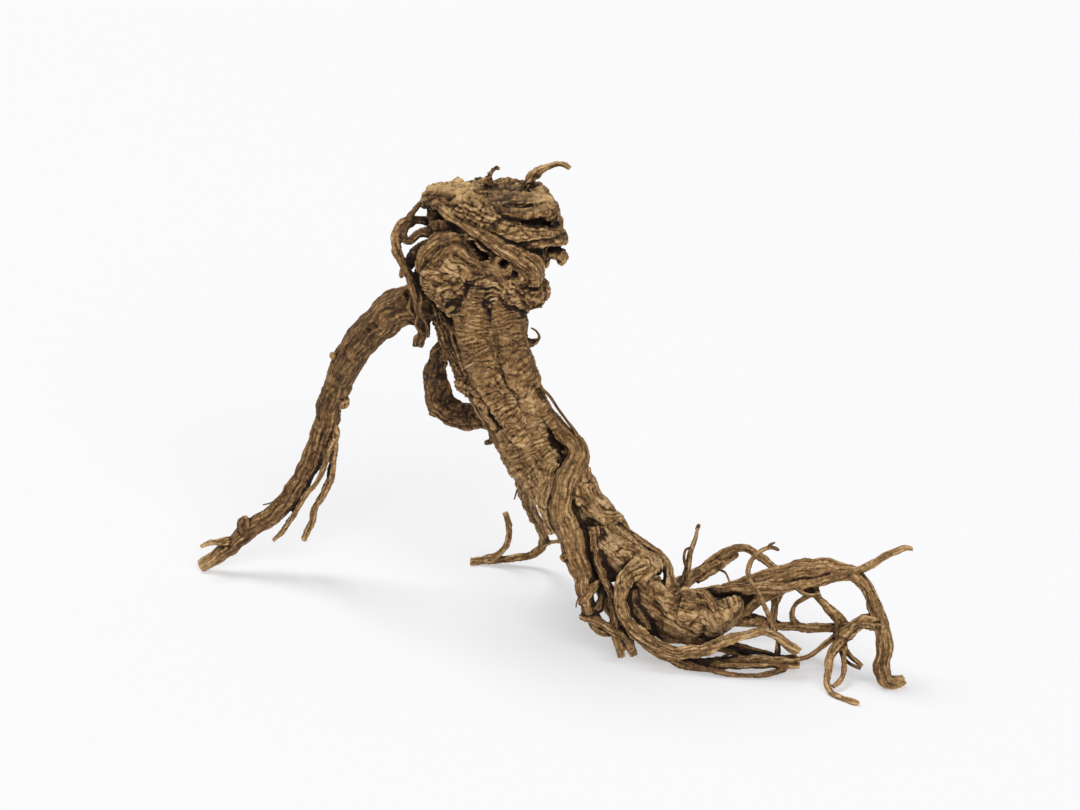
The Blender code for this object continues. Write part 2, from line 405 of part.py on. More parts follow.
def main():
    for obj in list(bpy.data.objects):
        bpy.data.objects.remove(obj)
    strands = bpy.data.collections.new("strands")
    bpy.context.scene.collection.children.link(strands)
    routes = [route for part in PARTS for route in part.items()]
    for count, (name, stations) in enumerate(routes):
        strands.objects.link(swept(name, stations, phase=count))

    root = strands.objects["taproot"]
    strands.objects.unlink(root)
    bpy.context.scene.collection.objects.link(root)
    apply_boolean(root, "UNION", operand_type="COLLECTION", collection=strands)

    floor = floor_block()
    strands.objects.link(floor)
    apply_boolean(root, "DIFFERENCE", object=floor)
    for obj in list(strands.objects):
        bpy.data.objects.remove(obj)
    bpy.data.collections.remove(strands)
    keep_outer_skin(root.data)

    root.name = root.data.name = NODE
    root.data.materials.clear()
    root.data.materials.append(bark())
    root.data.shade_smooth()
    root.data.set_sharp_from_angle(angle=SHARP_ANGLE)


main()
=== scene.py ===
import math

import bpy
import numpy as np
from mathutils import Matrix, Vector


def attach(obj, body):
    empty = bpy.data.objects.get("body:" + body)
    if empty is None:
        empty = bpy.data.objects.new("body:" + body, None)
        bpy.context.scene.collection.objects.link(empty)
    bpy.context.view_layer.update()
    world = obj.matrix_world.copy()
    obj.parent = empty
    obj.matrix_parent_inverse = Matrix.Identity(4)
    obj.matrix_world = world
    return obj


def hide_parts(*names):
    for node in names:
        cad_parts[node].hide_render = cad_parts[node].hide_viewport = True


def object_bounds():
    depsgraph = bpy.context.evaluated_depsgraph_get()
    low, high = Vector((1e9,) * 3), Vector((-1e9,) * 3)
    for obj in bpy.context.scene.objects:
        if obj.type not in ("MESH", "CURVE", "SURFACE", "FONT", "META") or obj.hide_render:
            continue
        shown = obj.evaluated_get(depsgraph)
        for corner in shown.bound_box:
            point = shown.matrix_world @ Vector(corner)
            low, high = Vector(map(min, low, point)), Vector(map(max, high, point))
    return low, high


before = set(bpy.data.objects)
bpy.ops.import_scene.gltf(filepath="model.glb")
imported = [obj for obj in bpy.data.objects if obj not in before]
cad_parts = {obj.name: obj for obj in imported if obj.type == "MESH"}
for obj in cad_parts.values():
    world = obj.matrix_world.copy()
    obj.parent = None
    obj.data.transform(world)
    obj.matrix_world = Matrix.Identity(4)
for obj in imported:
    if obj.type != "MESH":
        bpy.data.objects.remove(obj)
cadLow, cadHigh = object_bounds()
print("frame loaded")

# Everything is made in millimetres and set down in metres
mm = 0.001

# The camera, and the sheet that faces it, on which every root is drawn:
# across and up the sheet, how far behind the front foot, and the radius there
sheet = {
    "tilt": math.radians(17),
    "eyeDistance": 892.0,
    "middleUp": 93.45,
    "moved": (-2.3, 39.3),
    "pixel": 0.35,
    "photoWidth": 1080,
    "sensor": 36.0,
}
lean, stand = math.sin(sheet["tilt"]), math.cos(sheet["tilt"])
sheetShift = np.array((*sheet["moved"], 0.0))
sheetEye = np.array((0.0,
                     sheet["middleUp"] * lean - sheet["eyeDistance"] * stand,
                     sheet["middleUp"] * stand + sheet["eyeDistance"] * lean))


def placeOnSheet(across, up, depth):
    # What lies behind the sheet is larger than it shows, so the scale comes back too
    shown = np.array((across, up * lean, up * stand))
    reach = (depth - sheetEye[1]) / (shown[1] - sheetEye[1])
    return sheetEye + (shown - sheetEye) * reach - sheetShift, reach


camera = bpy.data.objects.new("camera", bpy.data.cameras.new("camera"))
camera.location = Vector(sheetEye - sheetShift) * mm
camera.rotation_euler = (math.pi / 2 - sheet["tilt"], 0, 0)
camera.data.sensor_width = sheet["sensor"]
camera.data.lens = sheet["sensor"] * sheet["eyeDistance"] / sheet["pixel"] / sheet["photoWidth"]
bpy.context.scene.collection.objects.link(camera)
bpy.context.scene.camera = camera


# Noise and mesh helpers

def makeGradients(count, seed):
    spread = np.random.default_rng(seed).normal(size=(count, 3))
    return (spread / np.linalg.norm(spread, axis=1, keepdims=True)).astype(np.float32)


gradients = makeGradients(256, 11)


def noise(points):
    # Smooth gradient noise between about -0.8 and 0.8
    cell = np.floor(points).astype(np.int64)
    part = (points - cell).astype(np.float32)
    fade = part * part * part * (part * (part * 6 - 15) + 10)
    total = np.zeros(len(points), np.float32)
    for corner in range(8):
        step = np.array((corner & 1, corner >> 1 & 1, corner >> 2 & 1))
        at = cell + step
        key = (at[:, 0] * 73856093) ^ (at[:, 1] * 19349663) ^ (at[:, 2] * 83492791)
        key = (key ^ (key >> 13)) * 1274126177
        slope = gradients[(key ^ (key >> 16)) & 255]
        weight = np.where(step, fade, 1 - fade).prod(axis=1)
        total += weight * ((part - step) * slope).sum(axis=1)
    return total


def creases(points, sharpness=5.0):
    # Rounded tops with narrow valleys between them, from 0 in a valley to 1
    return np.tanh(np.abs(noise(points)) * sharpness)


def smoothStep(low, high, value):
    t = np.clip((value - low) / (high - low), 0, 1)
    return t * t * (3 - 2 * t)


def makeMesh(name, points, faces):
    count, corners = faces.shape
    mesh = bpy.data.meshes.new(name)
    mesh.vertices.add(len(points))
    mesh.vertices.foreach_set("co", np.ascontiguousarray(points, np.float32).ravel())
    mesh.loops.add(count * corners)
    mesh.loops.foreach_set("vertex_index", np.ascontiguousarray(faces, np.int32).ravel())
    mesh.polygons.add(count)
    mesh.polygons.foreach_set("loop_start", np.arange(0, count * corners, corners, dtype=np.int32))
    mesh.update(calc_edges=True)
    return mesh


def readMesh(mesh):
    points = np.empty(len(mesh.vertices) * 3, np.float32)
    mesh.vertices.foreach_get("co", points)
    faces = np.empty(len(mesh.loops), np.int32)
    mesh.loops.foreach_get("vertex_index", faces)
    return points.reshape(-1, 3).astype(np.float64), faces.reshape(len(mesh.polygons), -1)


def applyModifier(name, mesh, kind, **settings):
    holder = bpy.data.objects.new(name, mesh)
    bpy.context.scene.collection.objects.link(holder)
    modifier = holder.modifiers.new(kind, kind)
    for key, value in settings.items():
        setattr(modifier, key, value)
    seen = holder.evaluated_get(bpy.context.evaluated_depsgraph_get())
    made = bpy.data.meshes.new_from_object(seen)
    bpy.data.objects.remove(holder)
    bpy.data.meshes.remove(mesh)
    return made


# One root: its smooth line, its frame and its tube

def curveThrough(stations, samplesPerGap=20):
    knots = []
    for across, up, depth, radius in stations:
        point, scale = placeOnSheet(across, up, depth)
        knots.append((*point, radius * scale))
    knots = np.array(knots)
    first, last = 2 * knots[0] - knots[1], 2 * knots[-1] - knots[-2]
    first[3], last[3] = knots[0][3], knots[-1][3]
    knots = np.vstack((first, knots, last))
    t = (np.arange(samplesPerGap) / samplesPerGap)[:, None]
    weights = (0.5 * (-t + 2 * t**2 - t**3), 0.5 * (2 - 5 * t**2 + 3 * t**3),
               0.5 * (t + 4 * t**2 - 3 * t**3), 0.5 * (-t**2 + t**3))
    fine = [sum(w * knots[i + k] for k, w in enumerate(weights)) for i in range(len(knots) - 3)]
    return np.vstack(fine + [knots[-2]])


# Small bends and knots that no route draws: shares of the radius, and how far apart in mm
growth = {"wander": 0.26, "wanderEvery": 7.0, "mostWander": 0.65, "straightEnd": 6.0, "thinBelow": 3.2,
          "knots": 0.045, "thinKnots": 0.10, "knotEvery": 4.5, "flare": 0.4, "flareReach": 1.7}


def makeStrand(name, stations, number, step, look):
    fine = curveThrough(stations)
    walked = np.concatenate(([0], np.cumsum(np.linalg.norm(np.diff(fine[:, :3], axis=0), axis=1))))
    count = max(4, int(walked[-1] / step) + 1)
    along = np.linspace(0, walked[-1], count)
    line = np.column_stack([np.interp(along, walked, fine[:, k]) for k in range(4)])
    points, radii = line[:, :3], line[:, 3]
    flat = along * 0
    sway = [noise(np.column_stack((along / growth["wanderEvery"], flat + number * 3.7, flat + k * 9.1)))
            for k in range(3)]
    fade = smoothStep(0, growth["straightEnd"], np.minimum(along, along[-1] - along))
    room = np.minimum(radii * growth["wander"], growth["mostWander"]) * fade * 2
    points = points + np.column_stack(sway) * room[:, None]
    tangents = np.gradient(points, axis=0)
    tangents /= np.linalg.norm(tangents, axis=1, keepdims=True)
    sides = np.empty_like(tangents)
    side = np.array(Vector(tangents[0]).orthogonal().normalized())
    for k, tangent in enumerate(tangents):
        side = side - tangent * side.dot(tangent)
        side /= np.linalg.norm(side)
        sides[k] = side
    return {"name": name, "number": number, "points": points, "radii": radii.copy(), "along": along,
            "tangents": tangents, "sides": sides, "others": np.cross(tangents, sides), "look": look}


def flareAtForks(strands):
    # A root is thicker where it leaves a thicker one, or grows into it
    for strand in strands:
        for end, order in ((0, 1), (-1, -1)):
            tip, radius = strand["points"][end], strand["radii"][end]
            if radius > growth["thinBelow"]:
                continue
            for other in strands:
                if other is strand or other["radii"].max() < radius * 0.9:
                    continue
                away = np.linalg.norm(other["points"] - tip, axis=1) - other["radii"]
                if away.min() > -0.3 * radius:
                    continue
                line = strand["points"][::order][:60]
                gap = (np.linalg.norm(line[:, None] - other["points"], axis=2) - other["radii"]).min(axis=1)
                out = np.flatnonzero(gap > 0)
                if not len(out):
                    continue
                past = np.abs(strand["along"] - strand["along"][::order][out[0]])
                past = np.where(np.arange(len(past))[::order] < out[0], 0, past)
                swell = 1 + growth["flare"] * np.exp(-past / (growth["flareReach"] * radius))
                strand["radii"] *= swell
                break


# How far a section departs from a circle, as in the solid: share of the radius by count of lobes
lobes = {"shares": ((2, 0.07), (3, 0.05), (5, 0.03)), "twist": 0.05, "thinTwist": 0.11, "thinShare": 1.3,
         "facet": 0.7, "fewestFacets": 10, "mostFacets": 120}


def tubeOf(strand):
    radii, along, phase = strand["radii"], strand["along"], strand["number"]
    count = 2 * math.pi * radii.max() / lobes["facet"]
    count = int(np.clip(count, lobes["fewestFacets"], lobes["mostFacets"]))
    angles = np.linspace(0, 2 * math.pi, count, endpoint=False)
    swell = np.ones((len(along), count))
    thin = radii.mean() < growth["thinBelow"]
    twist = lobes["thinTwist"] if thin else lobes["twist"]
    for number, share in lobes["shares"]:
        share *= lobes["thinShare"] if thin else 1
        swell += share * np.sin(number * angles + phase * number + twist * along[:, None])
    flat = along * 0
    lumps = sum(noise(np.column_stack((along * k / growth["knotEvery"], flat + phase * 5.3 + k, flat))) / k
                for k in (1, 2.3))
    ring = radii[:, None] * swell * (1 + 2 * growth["thinKnots" if thin else "knots"] * lumps[:, None])
    outward = (strand["sides"][:, None] * np.cos(angles)[:, None]
               + strand["others"][:, None] * np.sin(angles)[:, None])
    skin = (strand["points"][:, None] + outward * ring[..., None]).reshape(-1, 3)
    points = np.vstack((skin, strand["points"][0], strand["points"][-1]))
    ringStart = np.arange(len(along) - 1)[:, None] * count
    here = np.arange(count)
    after = (here + 1) % count
    low, lowNext = (ringStart + here).ravel(), (ringStart + after).ravel()
    high, highNext = low + count, lowNext + count
    lastRing = (len(along) - 1) * count
    startCap = np.column_stack((np.full(count, len(skin)), after, here))
    endCap = np.column_stack((np.full(count, len(skin) + 1), lastRing + here, lastRing + after))
    faces = np.vstack((np.column_stack((low, lowNext, highNext)), np.column_stack((low, highNext, high)),
                       startCap, endCap))
    return points, faces


def joinTubes(strands):
    points, faces, start = [], [], 0
    for strand in strands:
        tube, corners = tubeOf(strand)
        points.append(tube)
        faces.append(corners + start)
        start += len(tube)
    return np.vstack(points), np.vstack(faces)


# The skin over many roots at once

def netOf(points, faces):
    count = len(points)
    ends = np.vstack([np.column_stack((faces[:, k], faces[:, (k + 1) % faces.shape[1]]))
                      for k in range(faces.shape[1])])
    ends.sort(axis=1)
    key = np.unique(ends[:, 0].astype(np.int64) * count + ends[:, 1])
    a, b = key // count, key % count
    return a, b, np.bincount(a, minlength=count) + np.bincount(b, minlength=count)


def relax(points, net, rounds, share=0.5):
    a, b, degree = net
    count = len(points)
    degree = np.maximum(degree, 1)
    for _ in range(rounds):
        mean = np.column_stack([np.bincount(a, points[b, k], count) + np.bincount(b, points[a, k], count)
                                for k in range(3)]) / degree[:, None]
        points = points + (mean - points) * share
    return points


def normalsOf(points, faces):
    across = np.cross(points[faces[:, 2]] - points[faces[:, 0]], points[faces[:, 3]] - points[faces[:, 1]])
    total = np.column_stack([sum(np.bincount(faces[:, c], across[:, k], len(points)) for c in range(4))
                             for k in range(3)])
    return total / np.maximum(np.linalg.norm(total, axis=1, keepdims=True), 1e-12)


def dropScraps(points, faces, smallest):
    # Sealed hollows enclose a volume below zero, and crumbs a small one
    a, b, _ = netOf(points, faces)
    label = np.arange(len(points))
    while True:
        lower = np.minimum(label[a], label[b])
        after = label.copy()
        np.minimum.at(after, label[a], lower)
        np.minimum.at(after, label[b], lower)
        after = after[after]
        if (after == label).all():
            break
        label = after
    p = points[faces]
    volume = (np.einsum("ij,ij->i", p[:, 0], np.cross(p[:, 1], p[:, 2]))
              + np.einsum("ij,ij->i", p[:, 0], np.cross(p[:, 2], p[:, 3]))) / 6
    held = np.bincount(label[faces[:, 0]], volume, len(points))
    keptFaces = faces[held[label[faces[:, 0]]] > smallest]
    used, index = np.unique(keptFaces, return_inverse=True)
    return points[used], index.reshape(keptFaces.shape)


def triangles(mesh):
    mesh.calc_loop_triangles()
    points = np.empty(len(mesh.vertices) * 3, np.float32)
    mesh.vertices.foreach_get("co", points)
    faces = np.empty(len(mesh.loop_triangles) * 3, np.int32)
    mesh.loop_triangles.foreach_get("vertices", faces)
    return points.reshape(-1, 3), faces.reshape(-1, 3)


def voxelSkin(name, points, faces, voxel):
    return applyModifier(name, makeMesh(name, points, faces), "REMESH", mode="VOXEL", voxel_size=voxel)


def skinOver(piece, strands, voxel):
    name = piece["name"]
    over = piece.get("laidOver", ())
    laidOver = [s for s in strands if s["name"] in over]
    first = [s for s in strands if s["name"] not in over]
    mesh = voxelSkin(name, *joinTubes(first), voxel)
    if "gouges" in piece:
        cuts = [makeStrand(key, line, k, piece["step"], None)
                for k, (key, line) in enumerate(piece["gouges"].items())]
        cutter = bpy.data.objects.new("cutter", voxelSkin("cutter", *joinTubes(cuts), voxel))
        bpy.context.scene.collection.objects.link(cutter)
        mesh = applyModifier(name, mesh, "BOOLEAN", operation="DIFFERENCE", solver="MANIFOLD", object=cutter)
        bpy.data.objects.remove(cutter)
        points, faces = triangles(mesh)
        if laidOver:
            more, moreFaces = joinTubes(laidOver)
            faces = np.vstack((faces, moreFaces + len(points)))
            points = np.vstack((points, more))
        mesh = voxelSkin(name, points, faces, voxel)
    points, faces = readMesh(mesh)
    bpy.data.meshes.remove(mesh)
    return dropScraps(points, faces, smallest=1.0)


# Where each point lies on its roots

def rowsOn(points, strands, blend=0.3, reachOut=2.6):
    # One row for each point and each root that shares it there: the share, and the place on that root
    gap = np.full((len(points), len(strands)), 9.0, np.float32)
    near = np.zeros((len(points), len(strands)), np.int32)
    for k, strand in enumerate(strands):
        line, radii = strand["points"].astype(np.float32), strand["radii"].astype(np.float32)
        margin = radii.max() + reachOut
        inside = np.flatnonzero(((points > line.min(0) - margin) & (points < line.max(0) + margin)).all(1))
        for part in np.array_split(inside, len(inside) // 20000 + 1):
            p = points[part].astype(np.float32)
            squared = (p * p).sum(1)[:, None] + (line * line).sum(1) - 2 * p @ line.T
            away = np.sqrt(np.maximum(squared, 0)) - radii
            best = away.argmin(axis=1)
            gap[part, k] = away[np.arange(len(part)), best]
            near[part, k] = best
    least = gap.min(axis=1)
    share = np.exp(-(gap - least[:, None]) / blend)
    which, strandOf = np.nonzero(share > 0.04)
    rows = {"point": which, "strand": strandOf, "share": share[which, strandOf]}
    at = near[which, strandOf]
    keys = ("points", "tangents", "sides", "others")
    starts = np.concatenate(([0], np.cumsum([len(s["along"]) for s in strands])))[:-1]
    at = at + starts[strandOf]
    held = {key: np.concatenate([s[key] for s in strands])[at] for key in keys + ("radii", "along")}
    off = points[which] - held["points"]
    forward = (off * held["tangents"]).sum(1)
    off -= forward[:, None] * held["tangents"]
    x, y = (off * held["sides"]).sum(1), (off * held["others"]).sum(1)
    wide = np.maximum(np.hypot(x, y), 1e-6)
    radius = np.maximum(held["radii"], 0.3)
    rows.update(x=x / wide * radius, y=y / wide * radius, s=held["along"] + forward, radius=radius)
    rows["length"] = np.array([s["along"][-1] for s in strands])[strandOf]
    rows["number"] = np.array([s["number"] for s in strands])[strandOf]
    second = np.sort(gap, axis=1)[:, min(1, len(strands) - 1)]
    rows["apart"] = np.where(second > least, second - least, 9.0)
    return rows


# What the bark does, by the keys below: depths, pitches and bends in mm, the twist in radians a mm, the seam
# between roots (below 0 it is filled), whether the grain runs around, how flat the folds lie, and the tone

lookKeys = ("ridge", "ridgePitch", "ring", "ringPitch", "fold", "foldSize", "fine", "warp", "wart", "twist",
            "seam", "around", "flat", "tone")
looks = {
    "wrinkled": (0.22, 5.0, 0.4, 1.3, 0.38, 8.0, 0.4, 1.1, 0.15, 0.0, -0.7, 1.0, 1.0, 0.5),
    "swirled": (0.3, 4.5, 0.48, 1.8, 0.7, 6.5, 0.4, 2.6, 0.3, 0.0, -1.1, 0.8, 0.6, 0.54),
    "flowing": (0.8, 3.2, 0.18, 2.0, 0.9, 8.0, 0.3, 3.0, 0.1, 0.0, -1.0, 0.2, 0.0, 0.62),
    "stringy": (0.48, 2.7, 0.16, 2.6, 0.38, 6.0, 0.5, 0.8, 0.25, 0.02, 0.2, 0.0, 0.0, 0.47),
    "roped": (0.62, 2.4, 0.12, 2.4, 0.28, 5.0, 0.6, 0.5, 0.25, 0.02, -0.4, 0.0, 0.0, 0.53),
    "banded": (0.55, 2.2, 0.15, 2.0, 0.6, 5.5, 0.4, 1.2, 0.2, 0.0, 0.25, 0.1, 0.3, 0.54),
    "lips": (0.55, 3.0, 0.2, 2.4, 0.85, 5.5, 0.45, 1.6, 0.35, 0.0, 0.6, 0.5, 0.7, 0.56),
    "wall": (0.5, 3.4, 0.25, 2.2, 1.2, 7.0, 0.5, 2.4, 0.3, 0.0, -1.2, 0.3, 0.5, 0.46),
    "knotty": (0.6, 2.2, 0.35, 1.8, 1.0, 3.6, 0.5, 1.5, 0.5, 0.0, 0.8, 0.5, 0.3, 0.4),
    "satin": (0.4, 2.3, 0.12, 1.8, 0.45, 6.0, 0.4, 1.0, 0.15, 0.01, 0.1, 0.1, 0.0, 0.62),
    "stem": (0.62, 2.6, 0.1, 2.2, 0.5, 5.0, 0.5, 1.6, 0.35, 0.01, 0.5, 0.0, 0.0, 0.58),
    "lumpy": (0.65, 3.4, 0.22, 2.4, 0.8, 6.0, 0.4, 2.0, 0.2, 0.02, -0.2, 0.2, 0.0, 0.3),
    "folded": (0.8, 3.2, 0.35, 2.2, 0.9, 5.0, 0.5, 1.8, 0.35, 0.0, -0.3, 0.4, 0.8, 0.54),
    "core": (0.35, 4.0, 0.7, 3.0, 1.1, 6.5, 0.5, 3.0, 0.25, 0.0, -0.6, 0.8, 0.9, 0.46),
    "shaded": (0.35, 3.0, 0.55, 2.6, 0.9, 6.0, 0.5, 2.4, 0.25, 0.0, -0.3, 0.6, 0.6, 0.3),
    "charred": (0.85, 1.6, 0.16, 1.6, 0.5, 3.0, 0.7, 0.6, 0.8, 0.03, 0.1, 0.0, 0.0, 0.12),
    "mound": (0.15, 4.0, 0.62, 1.9, 0.8, 6.0, 0.5, 2.6, 0.25, 0.0, -1.1, 1.0, 1.3, 0.52),
    "grooved": (0.6, 2.3, 0.16, 1.8, 0.5, 5.0, 0.6, 1.1, 0.3, 0.02, 0.1, 0.0, 0.0, 0.63),
    "fine": (0.85, 1.6, 0.16, 1.6, 0.4, 3.0, 0.7, 0.6, 0.7, 0.03, 0.1, 0.0, 0.0, 0.57),
    "dusky": (0.85, 1.6, 0.16, 1.6, 0.5, 3.0, 0.7, 0.6, 0.8, 0.03, 0.1, 0.0, 0.0, 0.34),
}


def lookValues(rows, strands):
    # A root may change from one look to another on its way
    table = []
    for strand in strands:
        look = strand["look"]
        first, last, start, end = look if isinstance(look, tuple) else (look, look, 0.4, 0.6)
        table.append((*looks[first], *looks[last], start, end))
    table = np.array(table)[rows["strand"]]
    count = len(lookKeys)
    mix = smoothStep(table[:, -2], table[:, -1], rows["s"] / rows["length"])
    return {key: table[:, k] * (1 - mix) + table[:, count + k] * mix for k, key in enumerate(lookKeys)}


# What all looks share: the bends that the bark follows, its warts and pits (size, shift, level, height), its
# grit, and how much flatter everything is on a thin root
relief = {"bends": (7.0, 2.6), "smallBend": 0.4, "alongBend": 1.3, "foldBend": 1.2,
          "warts": (1.9, 40.0, 0.22, 2.2), "pits": (1.6, 60.0, 0.25, 2.0), "grit": 0.12,
          "fullRadius": 3.0, "leastShare": 0.30}


def barkHeight(rows, look, where):
    turn = look["twist"] * rows["s"]
    x = rows["x"] * np.cos(turn) - rows["y"] * np.sin(turn)
    y = rows["x"] * np.sin(turn) + rows["y"] * np.cos(turn)
    s, seed = rows["s"], rows["number"] * 7.31
    # The bends of the bark are drawn in the room and not on a root, so they run on over the seams
    wide, narrow = relief["bends"]
    sway = [noise(where / wide + shift) + relief["smallBend"] * noise(where / narrow + shift)
            for shift in (3.1, 17.7, 31.3)]
    x, y = x + sway[0] * look["warp"], y + sway[1] * look["warp"]
    s = s + sway[2] * look["warp"] * relief["alongBend"]

    def at(acrossPitch, alongPitch, shift=0.0):
        return np.column_stack((x / acrossPitch + seed, y / acrossPitch + shift,
                                s / alongPitch + seed + shift))

    pitch = look["ridgePitch"]
    ridge = (creases(at(pitch, pitch * 8, 1.0), 3.2) - 0.55
             + 0.55 * (creases(at(pitch / 2.1, pitch * 4, 8.0), 3.5) - 0.55))
    pitch = look["ringPitch"]
    phase = s / pitch + 1.1 * noise(at(9.0, 6.0, 2.0)) + 0.35 * noise(at(3.0, 3.0, 5.0))
    lines = np.tanh(2.4 * np.abs(np.sin(math.pi * phase))) - 0.72
    broken = smoothStep(-0.35, 0.2, noise(at(4.5, 2.2, 6.0)))
    ring = lines * (0.25 + 0.9 * broken) + 0.5 * (creases(at(pitch * 3.4, pitch * 0.8, 4.0), 3.2) - 0.55)
    size = look["foldSize"]
    bent = where + np.column_stack(sway) * look["warp"][:, None] * relief["foldBend"]
    squeezed = bent / size[:, None]
    squeezed[:, 2] *= 1 + look["flat"]
    fold = creases(squeezed, 3.0) - 0.55 + look["fine"] * (
        0.8 * (creases(squeezed * 2.1 + 9.0, 3.2) - 0.55)
        + 0.4 * (creases(squeezed * 4.3 + 5.0, 3.4) - 0.55))
    warts, pits = (np.maximum(noise(where / size + shift) - level, 0) * height
                   for size, shift, level, height in (relief["warts"], relief["pits"]))
    grit = noise(at(0.8, 1.0, 11.0))
    grow = np.clip(rows["radius"] / relief["fullRadius"], relief["leastShare"], 1.0)
    depth = (look["ridge"] * ridge + look["ring"] * ring + look["fold"] * fold
             + look["wart"] * (warts - pits) + relief["grit"] * grit)
    return depth * grow


def spreadRows(rows, value, count):
    total = np.bincount(rows["point"], rows["share"], count)
    return np.bincount(rows["point"], rows["share"] * value, count) / np.maximum(total, 1e-9)


def addValues(mesh, name, values, kind="FLOAT"):
    layer = mesh.attributes.new(name, kind, "POINT")
    layer.data.foreach_set("vector" if kind == "FLOAT_VECTOR" else "value",
                           np.ascontiguousarray(values, np.float32).ravel())


# From skin to bark: widths and depths in mm, and rounds of smoothing
surface = {"quickVoxel": 1.7, "swellBack": -0.52, "grooveWidth": 0.55, "fillWidth": 2.2, "cutCalm": 0.75,
           "hollowRounds": 9, "quickRounds": 4, "hollowDepth": 0.30, "heightScale": 0.6}


def shapePiece(piece, strands):
    # The skin over the roots of one piece, raised into bark, with what the bark there is like
    voxel = piece["voxel"] * 1.0
    points, faces = skinOver(piece, strands, voxel)
    net = netOf(points, faces)
    points = relax(relax(points, net, piece["fuse"]), net, 1, surface["swellBack"])
    normals = normalsOf(points, faces)
    rows = rowsOn(points, strands)
    count = len(points)
    look = lookValues(rows, strands)
    depth = spreadRows(rows, barkHeight(rows, look, points[rows["point"]]), count)
    # Roots either stay apart, with a groove between them, or have grown together
    seam = spreadRows(rows, look["seam"], count)
    seamWidth = np.where(seam > 0, surface["grooveWidth"], surface["fillWidth"])
    depth -= seam * np.exp(-(rows["apart"] / seamWidth) ** 2)
    cut, dusk = np.zeros(count), 0
    if "cutTop" in piece:
        cut, more, dusk = brokenTop(piece["cutTop"], points, normals)
        depth = depth * (1 - surface["cutCalm"] * cut) + more
    points = points + normals * depth[:, None]
    # hollow: how far each point lies in a crease, from which the material paints shade in creases and a
    # highlight on raised tops
    near = relax(points, net, surface["hollowRounds"])
    normals = normalsOf(points, faces)
    hollow = np.clip(((near - points) * normals).sum(1) / surface["hollowDepth"], -1, 1)
    best = rows["share"] >= 0.999
    order = rows["point"][best]
    place = np.zeros((count, 3))
    place[order] = np.column_stack((rows["x"], rows["y"], rows["s"] + rows["number"] * 13.7))[best]
    tips = smoothStep(-0.5, 0.15, rows["s"] - rows["length"]) * smoothStep(0.7, 1.0, rows["share"])
    wearAndHighlight = tips * piece["paleTips"]
    for k, strand in enumerate(strands):
        if strand["name"] in piece["paleEnds"]:
            reach, share = piece["paleEnds"][strand["name"]]
            past = smoothStep(-reach, -0.2 * reach, rows["s"] - strand["along"][-1] + 2.5 * noise(
                np.column_stack((rows["x"] / 2, rows["y"] / 2, rows["s"] / 6))))
            wearAndHighlight = np.where(rows["strand"] == k, np.maximum(wearAndHighlight, past * share), wearAndHighlight)
    cut = np.maximum(cut, np.clip(spreadRows(rows, wearAndHighlight, count), 0, 1))
    values = {"height": depth / surface["heightScale"], "hollow": hollow,
              "tone": spreadRows(rows, look["tone"], count) - dusk,
              "around": spreadRows(rows, look["around"], count), "cutWood": cut}
    print(piece["name"], "shaped:", len(faces) * 2, "triangles")
    return {"piece": piece, "points": points, "faces": faces, "normals": normals, "place": place,
            "values": values}


# How the painted shade in the gaps is found: all in mm, but the shares and the amounts of bark between which
# the painted shade grows
crowd = {"cell": 1.0, "margin": 12,
         "near": {"blur": 1.5, "out": 2.0, "from": 1.4, "to": 3.3, "share": 0.75},
         "wide": {"blur": 3.6, "out": 5.0, "from": 1.7, "to": 4.2, "share": 0.4}}


def blurGrid(grid, width):
    reach = int(width * 2.5 + 0.5)
    weights = np.exp(-0.5 * (np.arange(-reach, reach + 1) / width) ** 2)
    for axis in range(3):
        total = np.zeros_like(grid)
        for shift, weight in zip(range(-reach, reach + 1), weights / weights.sum()):
            total += np.roll(grid, shift, axis) * np.float32(weight)
        grid = total
    return grid


def readGrid(grid, at):
    cell = np.floor(at).astype(np.int64)
    part = at - cell
    total = np.zeros(len(at))
    for corner in range(8):
        step = np.array((corner & 1, corner >> 1 & 1, corner >> 2 & 1))
        i, j, k = np.clip(cell + step, 0, np.array(grid.shape) - 1).T
        total += np.where(step, part, 1 - part).prod(1) * grid[i, j, k]
    return total


def paintShadeInGaps(shapes):
    # How much other bark lies before each point, so that painted shade gathers in the gaps between roots
    origin = np.array(cadLow) / mm - crowd["margin"]
    size = ((np.array(cadHigh) / mm + crowd["margin"] - origin) / crowd["cell"]).astype(int) + 2
    grid = np.zeros(size.prod(), np.float32)
    for shape in shapes:
        p = shape["points"][shape["faces"]]
        area = np.linalg.norm(np.cross(p[:, 2] - p[:, 0], p[:, 3] - p[:, 1]), axis=1) / 2
        i, j, k = ((p.mean(axis=1) - origin) / crowd["cell"]).astype(int).T
        grid += np.bincount((i * size[1] + j) * size[2] + k, area, len(grid)).astype(np.float32)
    grid = grid.reshape(size)
    for name in ("near", "wide"):
        blur, out = crowd[name]["blur"], crowd[name]["out"]
        soft = blurGrid(grid, blur / crowd["cell"])
        plain = math.exp(-0.5 * (out / blur) ** 2) / (blur * math.sqrt(2 * math.pi)) * crowd["cell"] ** 3
        for shape in shapes:
            seen = readGrid(soft, (shape["points"] + shape["normals"] * out - origin) / crowd["cell"] - 0.5)
            shape[name] = seen / plain
    for shape in shapes:
        near, wide = (crowd[k]["share"] * smoothStep(crowd[k]["from"], crowd[k]["to"], shape.pop(k))
                      for k in ("near", "wide"))
        # deep is the share of painted shade that the gaps give each point
        shape["values"]["deep"] = np.clip(near + wide, 0, 1)


